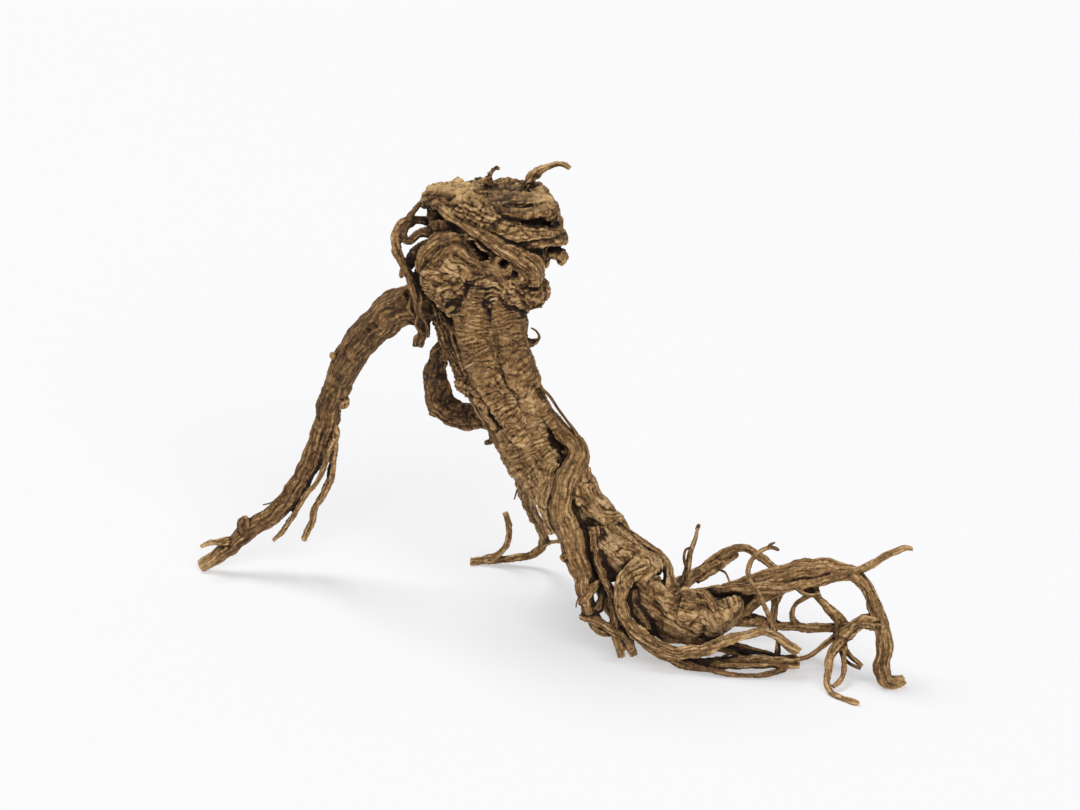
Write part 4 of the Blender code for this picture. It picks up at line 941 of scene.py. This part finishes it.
taproot = {
    "name": "taproot", "voxel": 0.42, "step": 0.6, "look": "wrinkled", "fuse": 4, "paleTips": 0.0,
    "parts": {"taproot": (62, 999), "lowerTaproot": (-999, 62)},
    "paleEnds": {"curlRoot": (7.0, 0.35), "ribCurls": (19.0, 0.22)},
    "looks": {"taproot": ("wrinkled", "flowing", 0.3, 0.5), "middleRib": ("wrinkled", "swirled", 0.3, 0.6),
        "rightRib": ("wrinkled", "swirled", 0.4, 0.8), "betweenRib": ("wrinkled", "swirled", 0.2, 0.5),
        "lobeUp": "wrinkled", "slotFill": "flowing", "curlRoof": "flowing", "bulbNeck": "flowing",
        "lobeFill": "flowing", "leftRib": ("dusky", "stringy", 0.25, 0.55), "ribKnob": "folded",
        "ribCurls": "folded", "edgeKnob": "folded", "lowHook": "dusky", "bluntLobe": "flowing",
        "endLobe": "flowing", "crossingRoot": ("wrinkled", "satin", 0.15, 0.3), "bypassRoot": "grooved",
        "innerFold": "flowing", "outerFold": "flowing", "curlRoot": ("flowing", "grooved", 0.1, 0.3),
        "wallRoot": "flowing", "gapFill": "satin", "roofFill": "flowing"},
    "gouges": {
        "lobeGroove": [(-18.6, 130, 47.5, 1.2), (-17.6, 122, 48.5, 1.3), (-16.6, 116, 48.5, 1.1),
            (-15.5, 110, 48, 0.8)],
        "slot": [(1.2, 86.6, 41, 0.6), (3.5, 82.8, 39.5, 1), (6.2, 79.4, 37.5, 1.3), (8.3, 77.2, 35.5, 1.5),
            (6.6, 75, 34, 1.2)],
        "slotFloor": [(2, 85.5, 43, 0.8), (5.3, 80.7, 41, 1.4), (7.3, 77, 38.5, 1.5)],
        "underFold": [(12.5, 58, 26, 2.2), (15.5, 53, 24.5, 3), (18, 49.5, 24, 1.8)],
    },
    "strands": {
        "taproot": [(-18.5, 136, 66, 11), (-18.8, 129, 64, 14.6), (-18.5, 120, 61.5, 13.6),
            (-17, 110, 58.5, 12.3), (-13, 100, 55, 11.2), (-9, 91, 51, 10.4), (-4.7, 80, 46, 9),
            (1, 70.8, 41, 8.6), (7.5, 62, 36.5, 8), (15.5, 53, 32, 7.4), (23, 44.5, 28, 7),
            (31, 36.5, 24, 6.4), (37.5, 29, 20, 5.8), (44, 23.5, 16.5, 6.6), (51, 20, 14, 7.6),
            (58, 18.8, 13, 6.8), (63.5, 20.5, 13, 4.8), (67, 24, 13, 3.4)],
        "middleRib": [(-27, 138, 56, 5), (-25.5, 128, 51.5, 5), (-24, 119, 49.5, 4.8), (-21.5, 110, 48, 4.8),
            (-17.5, 101.5, 45.5, 4.6), (-13, 93.5, 42.5, 4.3), (-8, 85, 40, 3.6), (-3, 76, 39.8, 2.6),
            (2, 67.5, 40, 1.5)],
        "rightRib": [(-13, 136, 54, 5.5), (-11.8, 124, 50, 5.8), (-10, 114, 48.5, 5.6), (-7.2, 105, 48, 5),
            (-3.2, 96.5, 48.5, 3.8), (0.5, 89, 48, 2.6)],
        "betweenRib": [(-16, 121, 52.5, 2.6), (-14.6, 113, 51, 3.4), (-12.4, 105, 48.8, 4.3),
            (-8.8, 97, 46.6, 4.5), (-3.5, 88.5, 45, 3.8), (0, 81, 42.5, 3.4)],
        "lobeUp": [(-22.4, 138.5, 49.5, 2.2), (-21.6, 134, 49.5, 2.9), (-21.6, 128, 50.2, 3.6),
            (-22.2, 120, 50, 4.2)],
        "slotFill": [(5.6, 73, 35.5, 3), (3.6, 68, 33.5, 3.6), (2.6, 62, 31, 3.6), (3.4, 55, 28.5, 3.2),
            (5.5, 49, 26.5, 3)],
        "curlRoof": [(22, 48, 29, 5), (29.5, 42.8, 24, 5), (35.5, 38.6, 21, 4.6), (38.8, 36.4, 21, 3.2)],
        "bulbNeck": [(32, 29.5, 22, 3.2), (35, 23, 18, 4), (40, 18, 15, 4.6), (46.5, 15.3, 13, 4.6),
            (53, 14, 12.5, 4)],
        "lobeFill": [(57, 20, 12.5, 5), (63, 20.5, 12, 4.4)],
        "leftRib": [(-35, 134, 62, 4.5), (-33.2, 123, 61, 4.4), (-30.3, 113.5, 58.5, 3.9),
            (-25.8, 103, 54.5, 3.5), (-20.8, 94.5, 51, 3.1), (-15.3, 86, 47.5, 2.9), (-9.6, 77, 43.5, 2.6),
            (-5.4, 69.5, 40, 2.2), (-1.5, 62.5, 37, 2)],
        "backRib": [(-22, 146, 82, 5.5), (-24, 132, 79, 5.5), (-22, 119, 74, 5), (-18, 107, 69, 4.5),
            (-12, 96, 64, 4), (-6, 86, 58.5, 3.5), (1, 76, 52, 3)],
        "farRib": [(-9, 148, 82, 5), (-9.5, 134, 78, 5), (-10, 121, 73, 5), (-8.8, 109, 67, 4.5),
            (-4.8, 98.5, 61, 4), (1.5, 88, 54, 3.5), (8, 79, 47, 3.2)],
        "crossingRoot": [(-9, 112, 52, 4), (-6, 103.5, 50, 4), (-2.4, 94.5, 48.5, 3.7), (5.4, 85, 45, 4),
            (12.6, 77.5, 38, 4.4), (11.3, 70.5, 31, 4.2), (8, 64, 27, 4), (7.2, 56.5, 24.5, 4.2),
            (9.6, 49.5, 22.5, 4.6), (12.5, 42, 20.5, 4.4), (15, 34, 18.5, 3.6), (16.2, 27.5, 17, 3.1),
            (17.8, 21, 16, 2.7), (20.5, 15.8, 15.5, 2.4), (25.5, 14, 15, 2)],
        "bypassRoot": [(9, 79, 40, 3.4), (13.2, 69.5, 37, 3.2), (17, 63.3, 35.5, 3.1), (21.7, 58.2, 34, 3),
            (27, 53, 32.5, 2.5), (31.7, 48.2, 31, 2.1), (37.3, 44, 29.5, 2), (42, 40.6, 27, 2),
            (44.6, 36.5, 23, 2), (45, 31.5, 19, 1.9), (44.5, 26, 16, 1.8)],
        "innerFold": [(9, 69, 30, 3.2), (12.5, 63.5, 28.5, 2.9), (16.5, 58.5, 28, 2.5), (20.5, 54.8, 28, 2.3),
            (24.5, 53.6, 29, 2.3), (27.6, 54.2, 31, 1.8)],
        "outerFold": [(13.5, 70, 33, 2.8), (17, 65.5, 31.5, 2.4), (20, 60.5, 31, 2.2), (23.5, 57.5, 31, 2)],
        "curlRoot": [(41, 38, 26, 3), (36.5, 36.8, 19.5, 3.2), (32, 34.8, 15, 3.1), (28.9, 31, 12, 2.9),
            (28.3, 26, 10, 2.7), (29, 21.3, 8.5, 2.6), (31.3, 17, 7, 2.5), (35, 12.8, 5, 2.5),
            (40, 9.3, 3, 2.4), (46, 7, 1.5, 2.4), (53, 7, 0.5, 2.3), (60, 8.8, 0, 2.1), (66, 10.9, -1, 2),
            (72, 12.9, -2, 1.9), (78, 13.8, -3, 1.9), (83, 12.6, -3, 1.9), (87, 9.3, -3, 1.9),
            (90.7, 7, -3, 1.7)],
        "gapFill": [(16, 50, 27, 2.6), (17, 45, 25, 2.6), (18, 39, 23.5, 2.4), (19, 33, 21.5, 2),
            (20, 28, 20, 1.5)],
        "roofFill": [(17.5, 49, 29, 3.6), (20.5, 44, 26, 4), (23.2, 39.5, 24, 3.9), (25.5, 35.8, 22.6, 3.2),
            (26.8, 33, 21.5, 2.2)],
        "wallRoot": [(12, 56, 30, 5), (15.5, 47.5, 27, 4.6), (18.5, 40, 25, 3.8), (20, 33, 23, 2.8),
            (24.5, 26, 20, 2)],
        "ribCurls": [(-24.2, 105, 46.6, 1.1), (-22.8, 102.4, 45, 1.9), (-23.6, 99.8, 44.8, 2.3),
            (-21.2, 97.8, 44, 1.6), (-21.4, 95, 44, 2.2), (-18.9, 92.8, 43, 1.6), (-19.1, 90, 43.2, 2.1),
            (-16.6, 87.8, 42.8, 1.4), (-15.8, 85.2, 43, 1.7)],
        "ribKnob": [(-24, 100, 52, 2.6), (-27.3, 100.2, 52.5, 2.7), (-28.5, 98.6, 52.5, 1.4)],
        "edgeKnob": [(-7, 115, 54, 2.4), (-2.5, 115, 55, 1.9), (-1, 116.8, 55, 1.1)],
        "lowHook": [(-15, 86, 50, 1.9), (-16.3, 83, 51, 1.3), (-17, 80.8, 52, 1.1), (-19.6, 80, 52.5, 1)],
        "bluntLobe": [(49, 24, 11, 5), (57, 22.5, 9.5, 4.6), (62, 18, 9, 4.2), (60, 13.8, 10, 3)],
        "endLobe": [(58, 17, 9, 4), (64, 17.5, 9, 3.8), (68, 22.3, 10.5, 3.6), (67.3, 26, 12.5, 2.4)],
    },
}

sideRoot = {
    "name": "sideRoot", "voxel": 0.42, "step": 0.5, "look": "stringy", "fuse": 1, "paleTips": 0.3,
    "parts": {"sideRoot": (-999, 999)},
    "paleEnds": {"leg": (11.0, 0.55), "legStem": (3.0, 0.4), "legTwig": (3.0, 0.3), "legProng": (3.0, 0.3)},
    "looks": {"legStem": "fine", "legTwig": "fine", "legProng": "fine", "legKnob": "folded"},
    "strands": {
        "leg": [(-30, 129, 70, 7), (-40, 129.5, 74, 7), (-48, 128, 76, 6.8), (-56, 122.7, 79, 6.3),
            (-63, 115.5, 82, 5.8), (-67.8, 107.3, 84.5, 5.2), (-70.9, 100, 86.5, 4.7), (-73.5, 93, 88.5, 4.3),
            (-75.6, 85, 90.5, 4.2), (-78, 77.5, 92.5, 3.9), (-82, 70, 94.5, 3.7), (-87, 62, 96.5, 3.8),
            (-92, 56.7, 98, 3.6), (-97.5, 52.7, 99, 3.6), (-102.3, 49.4, 99.5, 3.5), (-106.5, 45.8, 99.5, 3),
            (-110.5, 42.7, 99.5, 2.8), (-114.5, 39.7, 99.8, 2.6), (-118.6, 36.9, 100, 2.4)],
        "legStem": [(-74.5, 91, 88, 1.6), (-72.3, 86, 88, 1.3), (-71.6, 81, 88.5, 1.3),
            (-72.2, 75.5, 89.5, 1.35), (-73.2, 68, 91.5, 1.45), (-76, 62, 93.5, 1.35),
            (-78.7, 57.5, 95, 1.15), (-79.8, 52.5, 97, 1.2), (-82.7, 46.2, 99, 1.3)],
        "legTwig": [(-72, 82, 88.5, 1.1), (-74.3, 77, 88, 1.15), (-75.6, 72, 88.5, 1.0),
            (-78, 66.7, 90, 0.95), (-82, 61.5, 92, 0.95), (-86, 55.3, 95, 1.05), (-89.5, 50.3, 98, 1.1),
            (-93.3, 46, 101, 0.8)],
        "legProng": [(-107, 46, 99.5, 1.5), (-112, 45.4, 97, 1.1), (-116, 45.1, 95, 0.9),
            (-118.8, 43.8, 94, 0.7)],
        "legSleeve": [(-58, 121, 80, 6.1), (-63.5, 115, 82.3, 6.1), (-68, 107.3, 84.6, 5.7),
            (-69.8, 103.6, 85.6, 5.5)],
        "legKnot": [(-103, 50, 98.5, 2.2), (-103.1, 53, 97.5, 1.6), (-103.3, 54.6, 97, 0.8)],
        "legKnob": [(-71.5, 97, 87, 2), (-69.4, 94.7, 86.5, 1.8), (-69.2, 92.4, 86.5, 1.1)],
        "legSpur": [(-69, 109.5, 83, 2), (-72, 110.6, 82, 1.2), (-73.6, 111.3, 82, 0.6)],
        "legRidge": [(-45, 131, 71, 4), (-54, 126.7, 74.5, 3), (-61, 119.5, 77.5, 2.8),
            (-66.5, 111, 80.5, 2.6), (-70.5, 102.5, 83.5, 2.2), (-74, 94, 86, 2)],
    },
}

rearRoots = {
    "name": "rearRoots", "voxel": 0.45, "step": 0.5, "look": "grooved", "fuse": 1, "paleTips": 0.3,
    "parts": {"rearRoots": (-999, 999)},
    "paleEnds": {"hookRoot": (2.5, 0.4), "hookBranch": (1.5, 0.4)},
    "looks": {"elbow": "lumpy", "elbowSpur": "folded", "hookRoot": "fine", "hookTwin": "fine",
        "hookBranch": "fine", "hookLink": "fine", "hookRise": "fine", "backArch": "stringy"},
    "strands": {
        "elbow": [(-31, 115.5, 66, 3.4), (-35.2, 111, 70, 3.6), (-36.2, 105, 73, 4.2), (-35.8, 98.5, 75, 4.7),
            (-33.4, 93, 75.5, 4.8), (-28, 90, 73, 4.6), (-21.5, 89.2, 67, 4.1), (-14, 88.5, 58, 3.6)],
        "elbowSpur": [(-36, 93, 75.5, 2.4), (-37, 89.5, 76, 1.2)],
        "backArch": [(-20, 150, 84, 4), (-17, 141, 93, 3.7), (-15, 129, 95.5, 3.3), (-16, 117, 90, 3),
            (-17, 107, 81, 2.8), (-14, 98, 70, 2.6)],
        "hookRoot": [(-6, 72, 52, 2.2), (-5.9, 66, 58, 2), (-5, 60.5, 67, 1.9), (-2.3, 55, 79, 1.8),
            (0.4, 49.5, 89, 1.7), (1.1, 44.5, 98, 1.6), (-2.5, 41.2, 103.5, 1.55), (-10, 39.9, 106, 1.5),
            (-18, 39, 107, 1.5), (-24.5, 38.6, 106.5, 1.5)],
        "hookTwin": [(-2, 71.5, 46.5, 1.6), (-3, 69, 50, 1.5), (-3, 63, 58, 1.2), (-2.2, 57, 70, 1.1),
            (0.3, 51.5, 84, 1.1), (1.7, 47, 94, 1.1)],
        "hookBranch": [(-19, 39.2, 107, 1.3), (-15.5, 40.6, 105.5, 1.2), (-12.3, 43.5, 104, 1.25),
            (-10.8, 48, 103, 1.3), (-11, 52.5, 103, 1.25), (-12.2, 56, 103, 1.1)],
        "hookLink": [(0.5, 45, 97.5, 1), (4, 45.4, 91, 0.75), (8, 46, 70, 0.8), (11, 48, 48, 0.9),
            (13, 51, 34, 1)],
        "hookRise": [(-5, 80.5, 45.5, 3), (-5.6, 76, 48.6, 2.6), (-6, 72, 52, 2.2), (-5.9, 67, 57, 1.8)],
    },
}

braid = {
    "name": "braid", "voxel": 0.4, "step": 0.5, "look": "grooved", "fuse": 1, "paleTips": 0.3,
    "parts": {"braid": (-999, 999)},
    "paleEnds": {"propRoot": (4.0, 0.25), "footRoot": (3.0, 0.25)},
    "looks": {"propRoot": "fine", "crossStrap": "fine", "footRoot": "fine", "sideStrut": "fine",
        "innerStrut": "fine", "sideNub": "folded", "rearWrap": "fine"},
    "strands": {
        "propRoot": [(19, 51, 25, 1.9), (19.5, 44.5, 22, 1.9), (20, 38.5, 19, 1.8), (22, 33.2, 16.5, 1.8),
            (25, 27.8, 14.5, 1.8), (26.5, 22, 13, 1.8), (26.2, 16, 12, 1.8), (27.2, 10.5, 12, 1.7),
            (28.6, 5.2, 12.6, 1.35)],
        "crossStrap": [(14.5, 20, 16, 1.8), (18.5, 18.4, 13.5, 1.5), (23, 16.3, 12, 1.4),
            (27, 13.5, 11.5, 1.4)],
        "footRoot": [(24, 17, 14, 2), (29, 13, 12, 2), (31.5, 9.5, 12.5, 1.8), (33, 6, 14.3, 1.3)],
        "sideStrut": [(14.5, 24, 17, 1.4), (17, 27.5, 15.5, 1.3), (20.5, 32, 16.5, 1.2)],
        "innerStrut": [(17.5, 22, 17, 1.5), (20, 22.5, 16, 1.5), (22.5, 28, 17, 1.4), (24, 34, 19, 1.4)],
        "sideNub": [(11, 40.5, 20, 3), (9.2, 40, 20, 2.4), (8.8, 38.6, 20, 1.5)],
        "backStrand": [(31, 41, 31, 2.6), (38, 33, 30, 2.4), (41, 24, 30, 2.6), (43.7, 17.8, 28, 2.6),
            (48, 13.2, 25, 2.4), (53, 11, 21, 2.2), (60, 9.2, 16, 2), (67, 7.5, 11, 1.7), (74, 5.8, 7, 1.5)],
        "rearWrap": [(26, 46, 34, 2.6), (22, 37, 36, 2.6), (22, 28, 36, 2.4), (26, 20, 33, 2.2),
            (32, 15, 26, 2), (37, 12.6, 17, 1.9), (39, 11.3, 9, 1.8)],
        "strandTie": [(32, 29, 17, 2.6), (33, 23, 15, 2.6), (35.8, 18, 12, 2.2), (37.5, 14, 7.5, 1.6)],
    },
}

tangle = {
    "name": "tangle", "voxel": 0.39, "step": 0.45, "look": "grooved", "fuse": 1, "paleTips": 0.3,
    "parts": {"tangle": (-999, 999)},
    "paleEnds": {"bigRoot": (7.5, 0.75), "bottomRoot": (4.0, 0.45), "bottomTwin": (3.0, 0.4),
        "branchRoot": (3.0, 0.35), "branchTwig": (2.0, 0.4), "reachRoot": (4.0, 0.3),
        "uprightTwig": (1.5, 0.3)},
    "looks": {"bottomTwin": "fine", "floorRoot": "dusky", "underRoot": "dusky", "dropRoot": "fine",
        "bridge": "roped", "bigRoot": "roped", "middleRoot": "roped", "bigFill": "roped",
        "branchRoot": "grooved", "branchBridge": "grooved", "branchLoop": "fine", "branchTwig": "fine",
        "branchBack": "fine", "windowRoot": "fine", "windowSpur": "fine", "frontTendril": "fine",
        "uprightTwig": "fine", "rearLink": "fine", "overStrap": "fine", "bigTwin": "fine"},
    "strands": {
        "bottomRoot": [(33, 14.5, 7, 2), (39, 9.5, 5, 2.1), (45, 5.6, 3.6, 2.3), (52, 2.8, 2.6, 2.4),
            (60, 2.7, 2.2, 2.5), (70, 3.6, 1, 2.2), (80, 4.2, -1, 2), (91, 4, -1, 1.6)],
        "bottomTwin": [(54, 3.2, 1.5, 1), (62, 2.5, -1, 1.4), (72, 2.2, -3, 1.2), (82, 2.2, -3, 1.1),
            (91, 1.9, -3, 1)],
        "floorRoot": [(47, 4.6, 2.5, 1.4), (54, 2, -1, 1.4), (61, 0.2, -4, 1.2), (68, -1.1, -5.5, 1),
            (76, -1.3, -6, 1), (82, -0.3, -5.5, 1.1), (86, 1.3, -3.5, 1.1)],
        "underRoot": [(57, 11, 8, 1.6), (64, 9.8, 6, 1.4), (70, 8.7, 5, 1.3), (77, 7, 4, 1.2),
            (84, 5.2, 3, 1.1), (90, 5.2, 1, 1)],
        "dropRoot": [(83.6, 13, -2, 1), (83.3, 9, 0, 0.9), (83, 4.5, 0, 0.9)],
        "bridge": [(57, 20, 17, 6), (64, 22, 20, 5.6), (71, 24.5, 21, 4.8), (78, 28, 19, 3.8),
            (86, 32, 15, 2.8)],
        "bigRoot": [(56, 24.5, 20, 3.2), (65, 27.5, 20, 3.2), (74, 30.7, 18, 3.2), (83, 33.2, 15.5, 3.2),
            (91, 35.5, 12.5, 3.2), (98, 37, 9.5, 3), (104.5, 36.3, 5.5, 2.6), (110, 34, 1.5, 2.5),
            (114.3, 29.7, -3, 2.6), (117, 24.5, -6.5, 2.6), (119, 18.5, -9, 2.6), (120.3, 12, -11, 2.6),
            (120.6, 5.5, -13, 2.65), (120, 0.3, -14, 2.75), (120.6, -3.2, -14, 2.6), (124, -3.6, -13, 2.5),
            (127.4, -2.6, -11.5, 1.7)],
        "bigFill": [(69, 27.3, 19.5, 3), (80, 30.8, 16.5, 3.3), (90, 34, 11, 3), (99, 35.7, 7.4, 2.7),
            (107, 35, 4.2, 2.2)],
        "bigTwin": [(118.5, 24.5, -8, 1.2), (119.8, 20.5, -9.5, 1.4), (121.3, 14, -11, 1.4),
            (121.8, 8, -12.5, 1.3)],
        "middleRoot": [(62, 26.5, 20, 2.2), (72, 29, 17, 2.4), (82, 31.5, 14, 2.3), (92, 33.7, 10.5, 2.3),
            (101, 35, 6.5, 2.1), (110, 35, 1.5, 1.8)],
        "reachRoot": [(50, 26, 19, 1.6), (57, 27.8, 18, 1.6), (64, 28.9, 15.5, 1.7), (72, 29.4, 13, 1.9),
            (82, 29.4, 10, 2), (92, 30.7, 7, 2.1), (101, 32.6, 4, 1.9), (110, 35, 0.5, 1.6),
            (117, 38.4, -2, 1.4), (123, 41.6, -3, 1.3), (127.5, 43.4, -3, 1.15), (130.6, 43, -3, 0.8)],
        "floorBeam": [(62, 19.5, 18, 3), (70, 19, 21, 2.6), (78, 17.3, 21, 2), (88, 16, 18, 1.8),
            (97, 15.5, 12, 1.7), (104.5, 15.3, 4, 1.6)],
        "branchRoot": [(96, 32, 8.5, 1.8), (96.8, 27.2, 8, 1.6), (100.5, 22.7, 6, 1.7),
            (104.8, 18.6, 3.5, 2.1), (106, 15, 1.5, 2.6), (105.2, 11.5, 0, 2.3), (103, 8, -4, 1.7),
            (101.3, 4, -8, 1.4), (100.6, -1, -13.5, 1.4), (100.9, -5.7, -18.5, 1.3),
            (102.4, -7.9, -21.5, 1.2), (106, -9.3, -25, 1.15), (109.5, -10.4, -28, 1.2),
            (111.8, -11, -29.5, 0.8)],
        "branchBridge": [(105.4, 12.3, 1, 2), (108.2, 15, -0.5, 2.3), (111.7, 17, -3.5, 2.3),
            (115.3, 17.9, -7, 2.4), (118.5, 17.3, -9.5, 2)],
        "branchLoop": [(105.8, 11, 0.5, 1.3), (106.4, 5.5, -5, 1.1), (106.3, 0, -10.5, 1),
            (105, -3, -14, 0.95), (102.5, -5.2, -17.5, 0.8)],
        "branchTwig": [(105.8, 9, -1, 1), (108.5, 5.8, -3, 0.95), (111, 3.7, -5, 0.9), (112.9, 2.1, -6, 0.8)],
        "branchBack": [(105, 13.5, 2, 1.2), (100.5, 10.3, 4, 1), (97, 7.3, 4.5, 0.95), (93, 4.9, 3, 0.9),
            (88, 4, 0, 0.9)],
        "windowRoot": [(96.5, 30, 8, 1.3), (93.5, 26.5, 9.5, 1.1), (90, 24, 12, 1), (88.2, 20.8, 15, 1),
            (89, 17.5, 17.5, 1.1), (92.5, 15, 16.5, 1.2)],
        "windowSpur": [(90.5, 29.5, 7.5, 1.2), (93.5, 27.5, 7, 1), (97.5, 27.5, 7.8, 1.2)],
        "frontTendril": [(82, 43.6, 8, 0.7), (79, 43.2, 9, 0.9), (76, 41.3, 9, 1.05), (74, 38.7, 8.5, 1),
            (73, 35.5, 7.5, 0.95), (73.8, 32.2, 6.5, 0.9), (76, 28, 5, 0.95), (78.3, 23.5, 3, 1),
            (80.3, 18.7, 0.5, 1.05), (82, 14, -2, 1.1)],
        "backArm": [(42, 26, 22, 3), (47.5, 30, 30, 2.8), (53, 33.2, 37, 2.5), (58, 36.5, 42, 2.2),
            (63, 40.3, 44, 1.8), (68.8, 43.2, 42, 1.45), (74, 42.4, 37, 1.4), (78, 39.8, 31, 1.4),
            (81, 37, 24, 1.4), (84, 34, 17, 1.3)],
        "backStub": [(54, 33, 38, 2), (60, 36.8, 42, 2), (65, 39.3, 45.5, 1.8), (69, 41.2, 48.5, 1.5)],
        "uprightTwig": [(49.5, 29, 29, 1.4), (51.5, 34, 30, 1.35), (52.3, 40, 31, 1.2), (53.8, 45, 32, 1),
            (55.3, 50.5, 33, 0.7)],
        "rearLink": [(84, 31, 15, 1.4), (82.8, 25, 18.5, 1.35), (81.3, 17.5, 20.5, 1.3)],
        "overStrap": [(50, 27, 15, 1.3), (55.5, 27.6, 12, 1.3), (59, 25.5, 8.5, 1.3), (61.5, 21.5, 6.5, 1.1)],
    },
}

hairs = {
    "name": "hairs", "step": 0.6, "look": "fine",
    "parts": {"hairs": (-999, 999)},
    "pale": ("paleStub", "paleScar"),
    "strands": {
        "paleStub": [(-29.2, 129.4, 50.5, 0.7), (-30.6, 127.8, 48, 0.9), (-32, 126.6, 46.5, 0.8),
            (-32.8, 126.9, 45.5, 0.5)],
        "paleScar": [(-24, 101.4, 45.6, 0.35), (-23, 100.6, 44.6, 0.5), (-21.9, 100.2, 44.2, 0.35)],
        "neckTwig": [(-4.5, 127.1, 50, 0.6), (-1.8, 127.6, 49, 0.5), (0.5, 128, 49, 0.4)],
        "edgeFibre": [(-4.6, 114, 52, 0.35), (-4.1, 111.5, 51, 0.3), (-3.3, 108.6, 51, 0.25)],
        "looseStrand": [(-0.8, 100, 46.5, 0.6), (3, 97, 44.5, 0.55), (6, 92.5, 43, 0.55),
            (9, 88.5, 41.5, 0.5), (12.2, 84, 40, 0.6), (13.4, 80, 38, 0.5)],
        "legHair": [(-89.5, 62.5, 95, 0.4), (-91, 61.5, 94, 0.3), (-94, 59.3, 94, 0.3),
            (-97, 58.5, 94, 0.25)],
        "shoulderFibre": [(-48, 123.6, 72, 0.4), (-43, 121.2, 70, 0.4), (-39.5, 121.3, 66, 0.35)],
        "windowFibre": [(0, 68, 46, 0.4), (-2.2, 63.5, 51, 0.35), (-2, 59, 54, 0.3), (-0.5, 54.5, 56, 0.3),
            (2.5, 50, 50, 0.3)],
        "bundleFibre": [(60, 38, 44, 0.4), (62.5, 36, 40, 0.4), (65, 34.5, 34, 0.4), (67, 30, 26, 0.35)],
        "twigSide": [(51.6, 36, 29.5, 0.5), (50.4, 39.5, 28.5, 0.5), (50.9, 42.6, 29, 0.45),
            (52.6, 43.6, 30.5, 0.4)],
        "twigKnob": [(54.9, 49.8, 33, 0.45), (55.4, 51, 33, 0.5), (55.7, 51.7, 33, 0.35)],
        "secondProng": [(105.6, 6, -3, 0.7), (107, 4, -4, 0.65), (109, 2.6, -5.5, 0.6),
            (112.2, 1.2, -7, 0.6)],
        "floorScrap": [(64, 5, 2, 0.5), (66.4, 6.4, 1.6, 0.5), (69, 5.9, 1.6, 0.45), (67.6, 7.2, 1.6, 0.35)],
        "smallFibre": [(14.4, 28, 15.5, 0.35), (12.9, 24.6, 14, 0.3), (12.6, 22.6, 13.5, 0.25)],
        "tendrilTip": [(80.6, 43.8, 8.4, 0.5), (82.4, 43.3, 8, 0.5), (83.6, 42.6, 8, 0.35)],
        "tendrilFork": [(79.5, 43.2, 8.8, 0.5), (81, 44.8, 8.6, 0.45), (82.3, 45.3, 8.4, 0.3)],
        "knobFibre": [(-1.5, 115.3, 54.6, 0.5), (-0.3, 117.2, 54, 0.4), (-1.4, 119.4, 53, 0.35),
            (-3, 120.4, 52, 0.3)],
        "hookFibre": [(-6.2, 67, 56, 0.35), (-8, 63.5, 60, 0.3), (-9, 60.5, 64, 0.25)],
    },
}

pieces = (crown, taproot, sideRoot, rearRoots, braid, tangle, hairs)
grown = {}
for piece in pieces:
    grown[piece["name"]] = [makeStrand(name, line, len(grown) * 30 + k, piece["step"],
                                       piece.get("looks", {}).get(name, piece["look"]))
                            for k, (name, line) in enumerate(piece["strands"].items())]
flareAtForks([strand for strands in grown.values() for strand in strands])
print("roots drawn")
shapes = [shapePiece(piece, grown[piece["name"]]) for piece in pieces if piece is not hairs]
shapes.append(shapeHairs(hairs, grown["hairs"]))
paintShadeInGaps(shapes)
print("gaps found")
for shape in shapes:
    buildPiece(shape)


stageLook = {
    "floorColour": (0.50, 0.50, 0.505, 1.0),
    "floorGlow": (1.0, 1.0, 1.01, 1.0),
    "glowStrength": 0.43,
    "floorSize": 120.0,
    "sky": (0.96, 0.97, 1.0, 1.0),
    "skyStrength": 0.20,
    "lamps": {
        "topLamp": {"from": (-0.42, 0.35, 1.0), "spread": 34, "strength": 2.02},
        "frontLamp": {"from": (0.30, -1.0, 0.68), "spread": 42, "strength": 1.75},
    },
}


def makeFloor():
    half = stageLook["floorSize"] / 2
    points = np.array([(-half, -half, 0), (half, -half, 0), (half, half, 0), (-half, half, 0)], float)
    points[:, 2] = -0.00002
    floor = bpy.data.objects.new("floor", makeMesh("floor", points, np.array([[0, 1, 2, 3]])))
    bpy.context.scene.collection.objects.link(floor)
    material = bpy.data.materials.new("paleFloor")
    material.use_nodes = True
    shader = material.node_tree.nodes["Principled BSDF"]
    shader.inputs["Base Color"].default_value = stageLook["floorColour"]
    shader.inputs["Emission Color"].default_value = stageLook["floorGlow"]
    shader.inputs["Emission Strength"].default_value = stageLook["glowStrength"]
    shader.inputs["Roughness"].default_value = 0.8
    shader.inputs["Specular IOR Level"].default_value = 0.2
    floor.data.materials.append(material)


def makeLamp(name, lamp):
    # Sun lamps with a wide spread light the whole floor evenly
    data = bpy.data.lights.new(name, "SUN")
    data.angle = math.radians(lamp["spread"])
    data.energy = lamp["strength"]
    made = bpy.data.objects.new(name, data)
    made.rotation_euler = Vector(lamp["from"]).to_track_quat("Z", "Y").to_euler()
    bpy.context.scene.collection.objects.link(made)


makeFloor()
for lampName, lamp in stageLook["lamps"].items():
    makeLamp(lampName, lamp)
world = bpy.data.worlds.new("studio")
world.use_nodes = True
world.node_tree.nodes["Background"].inputs["Color"].default_value = stageLook["sky"]
world.node_tree.nodes["Background"].inputs["Strength"].default_value = stageLook["skyStrength"]
bpy.context.scene.world = world
bpy.context.scene.view_settings.view_transform = "Standard"
print("stage set")
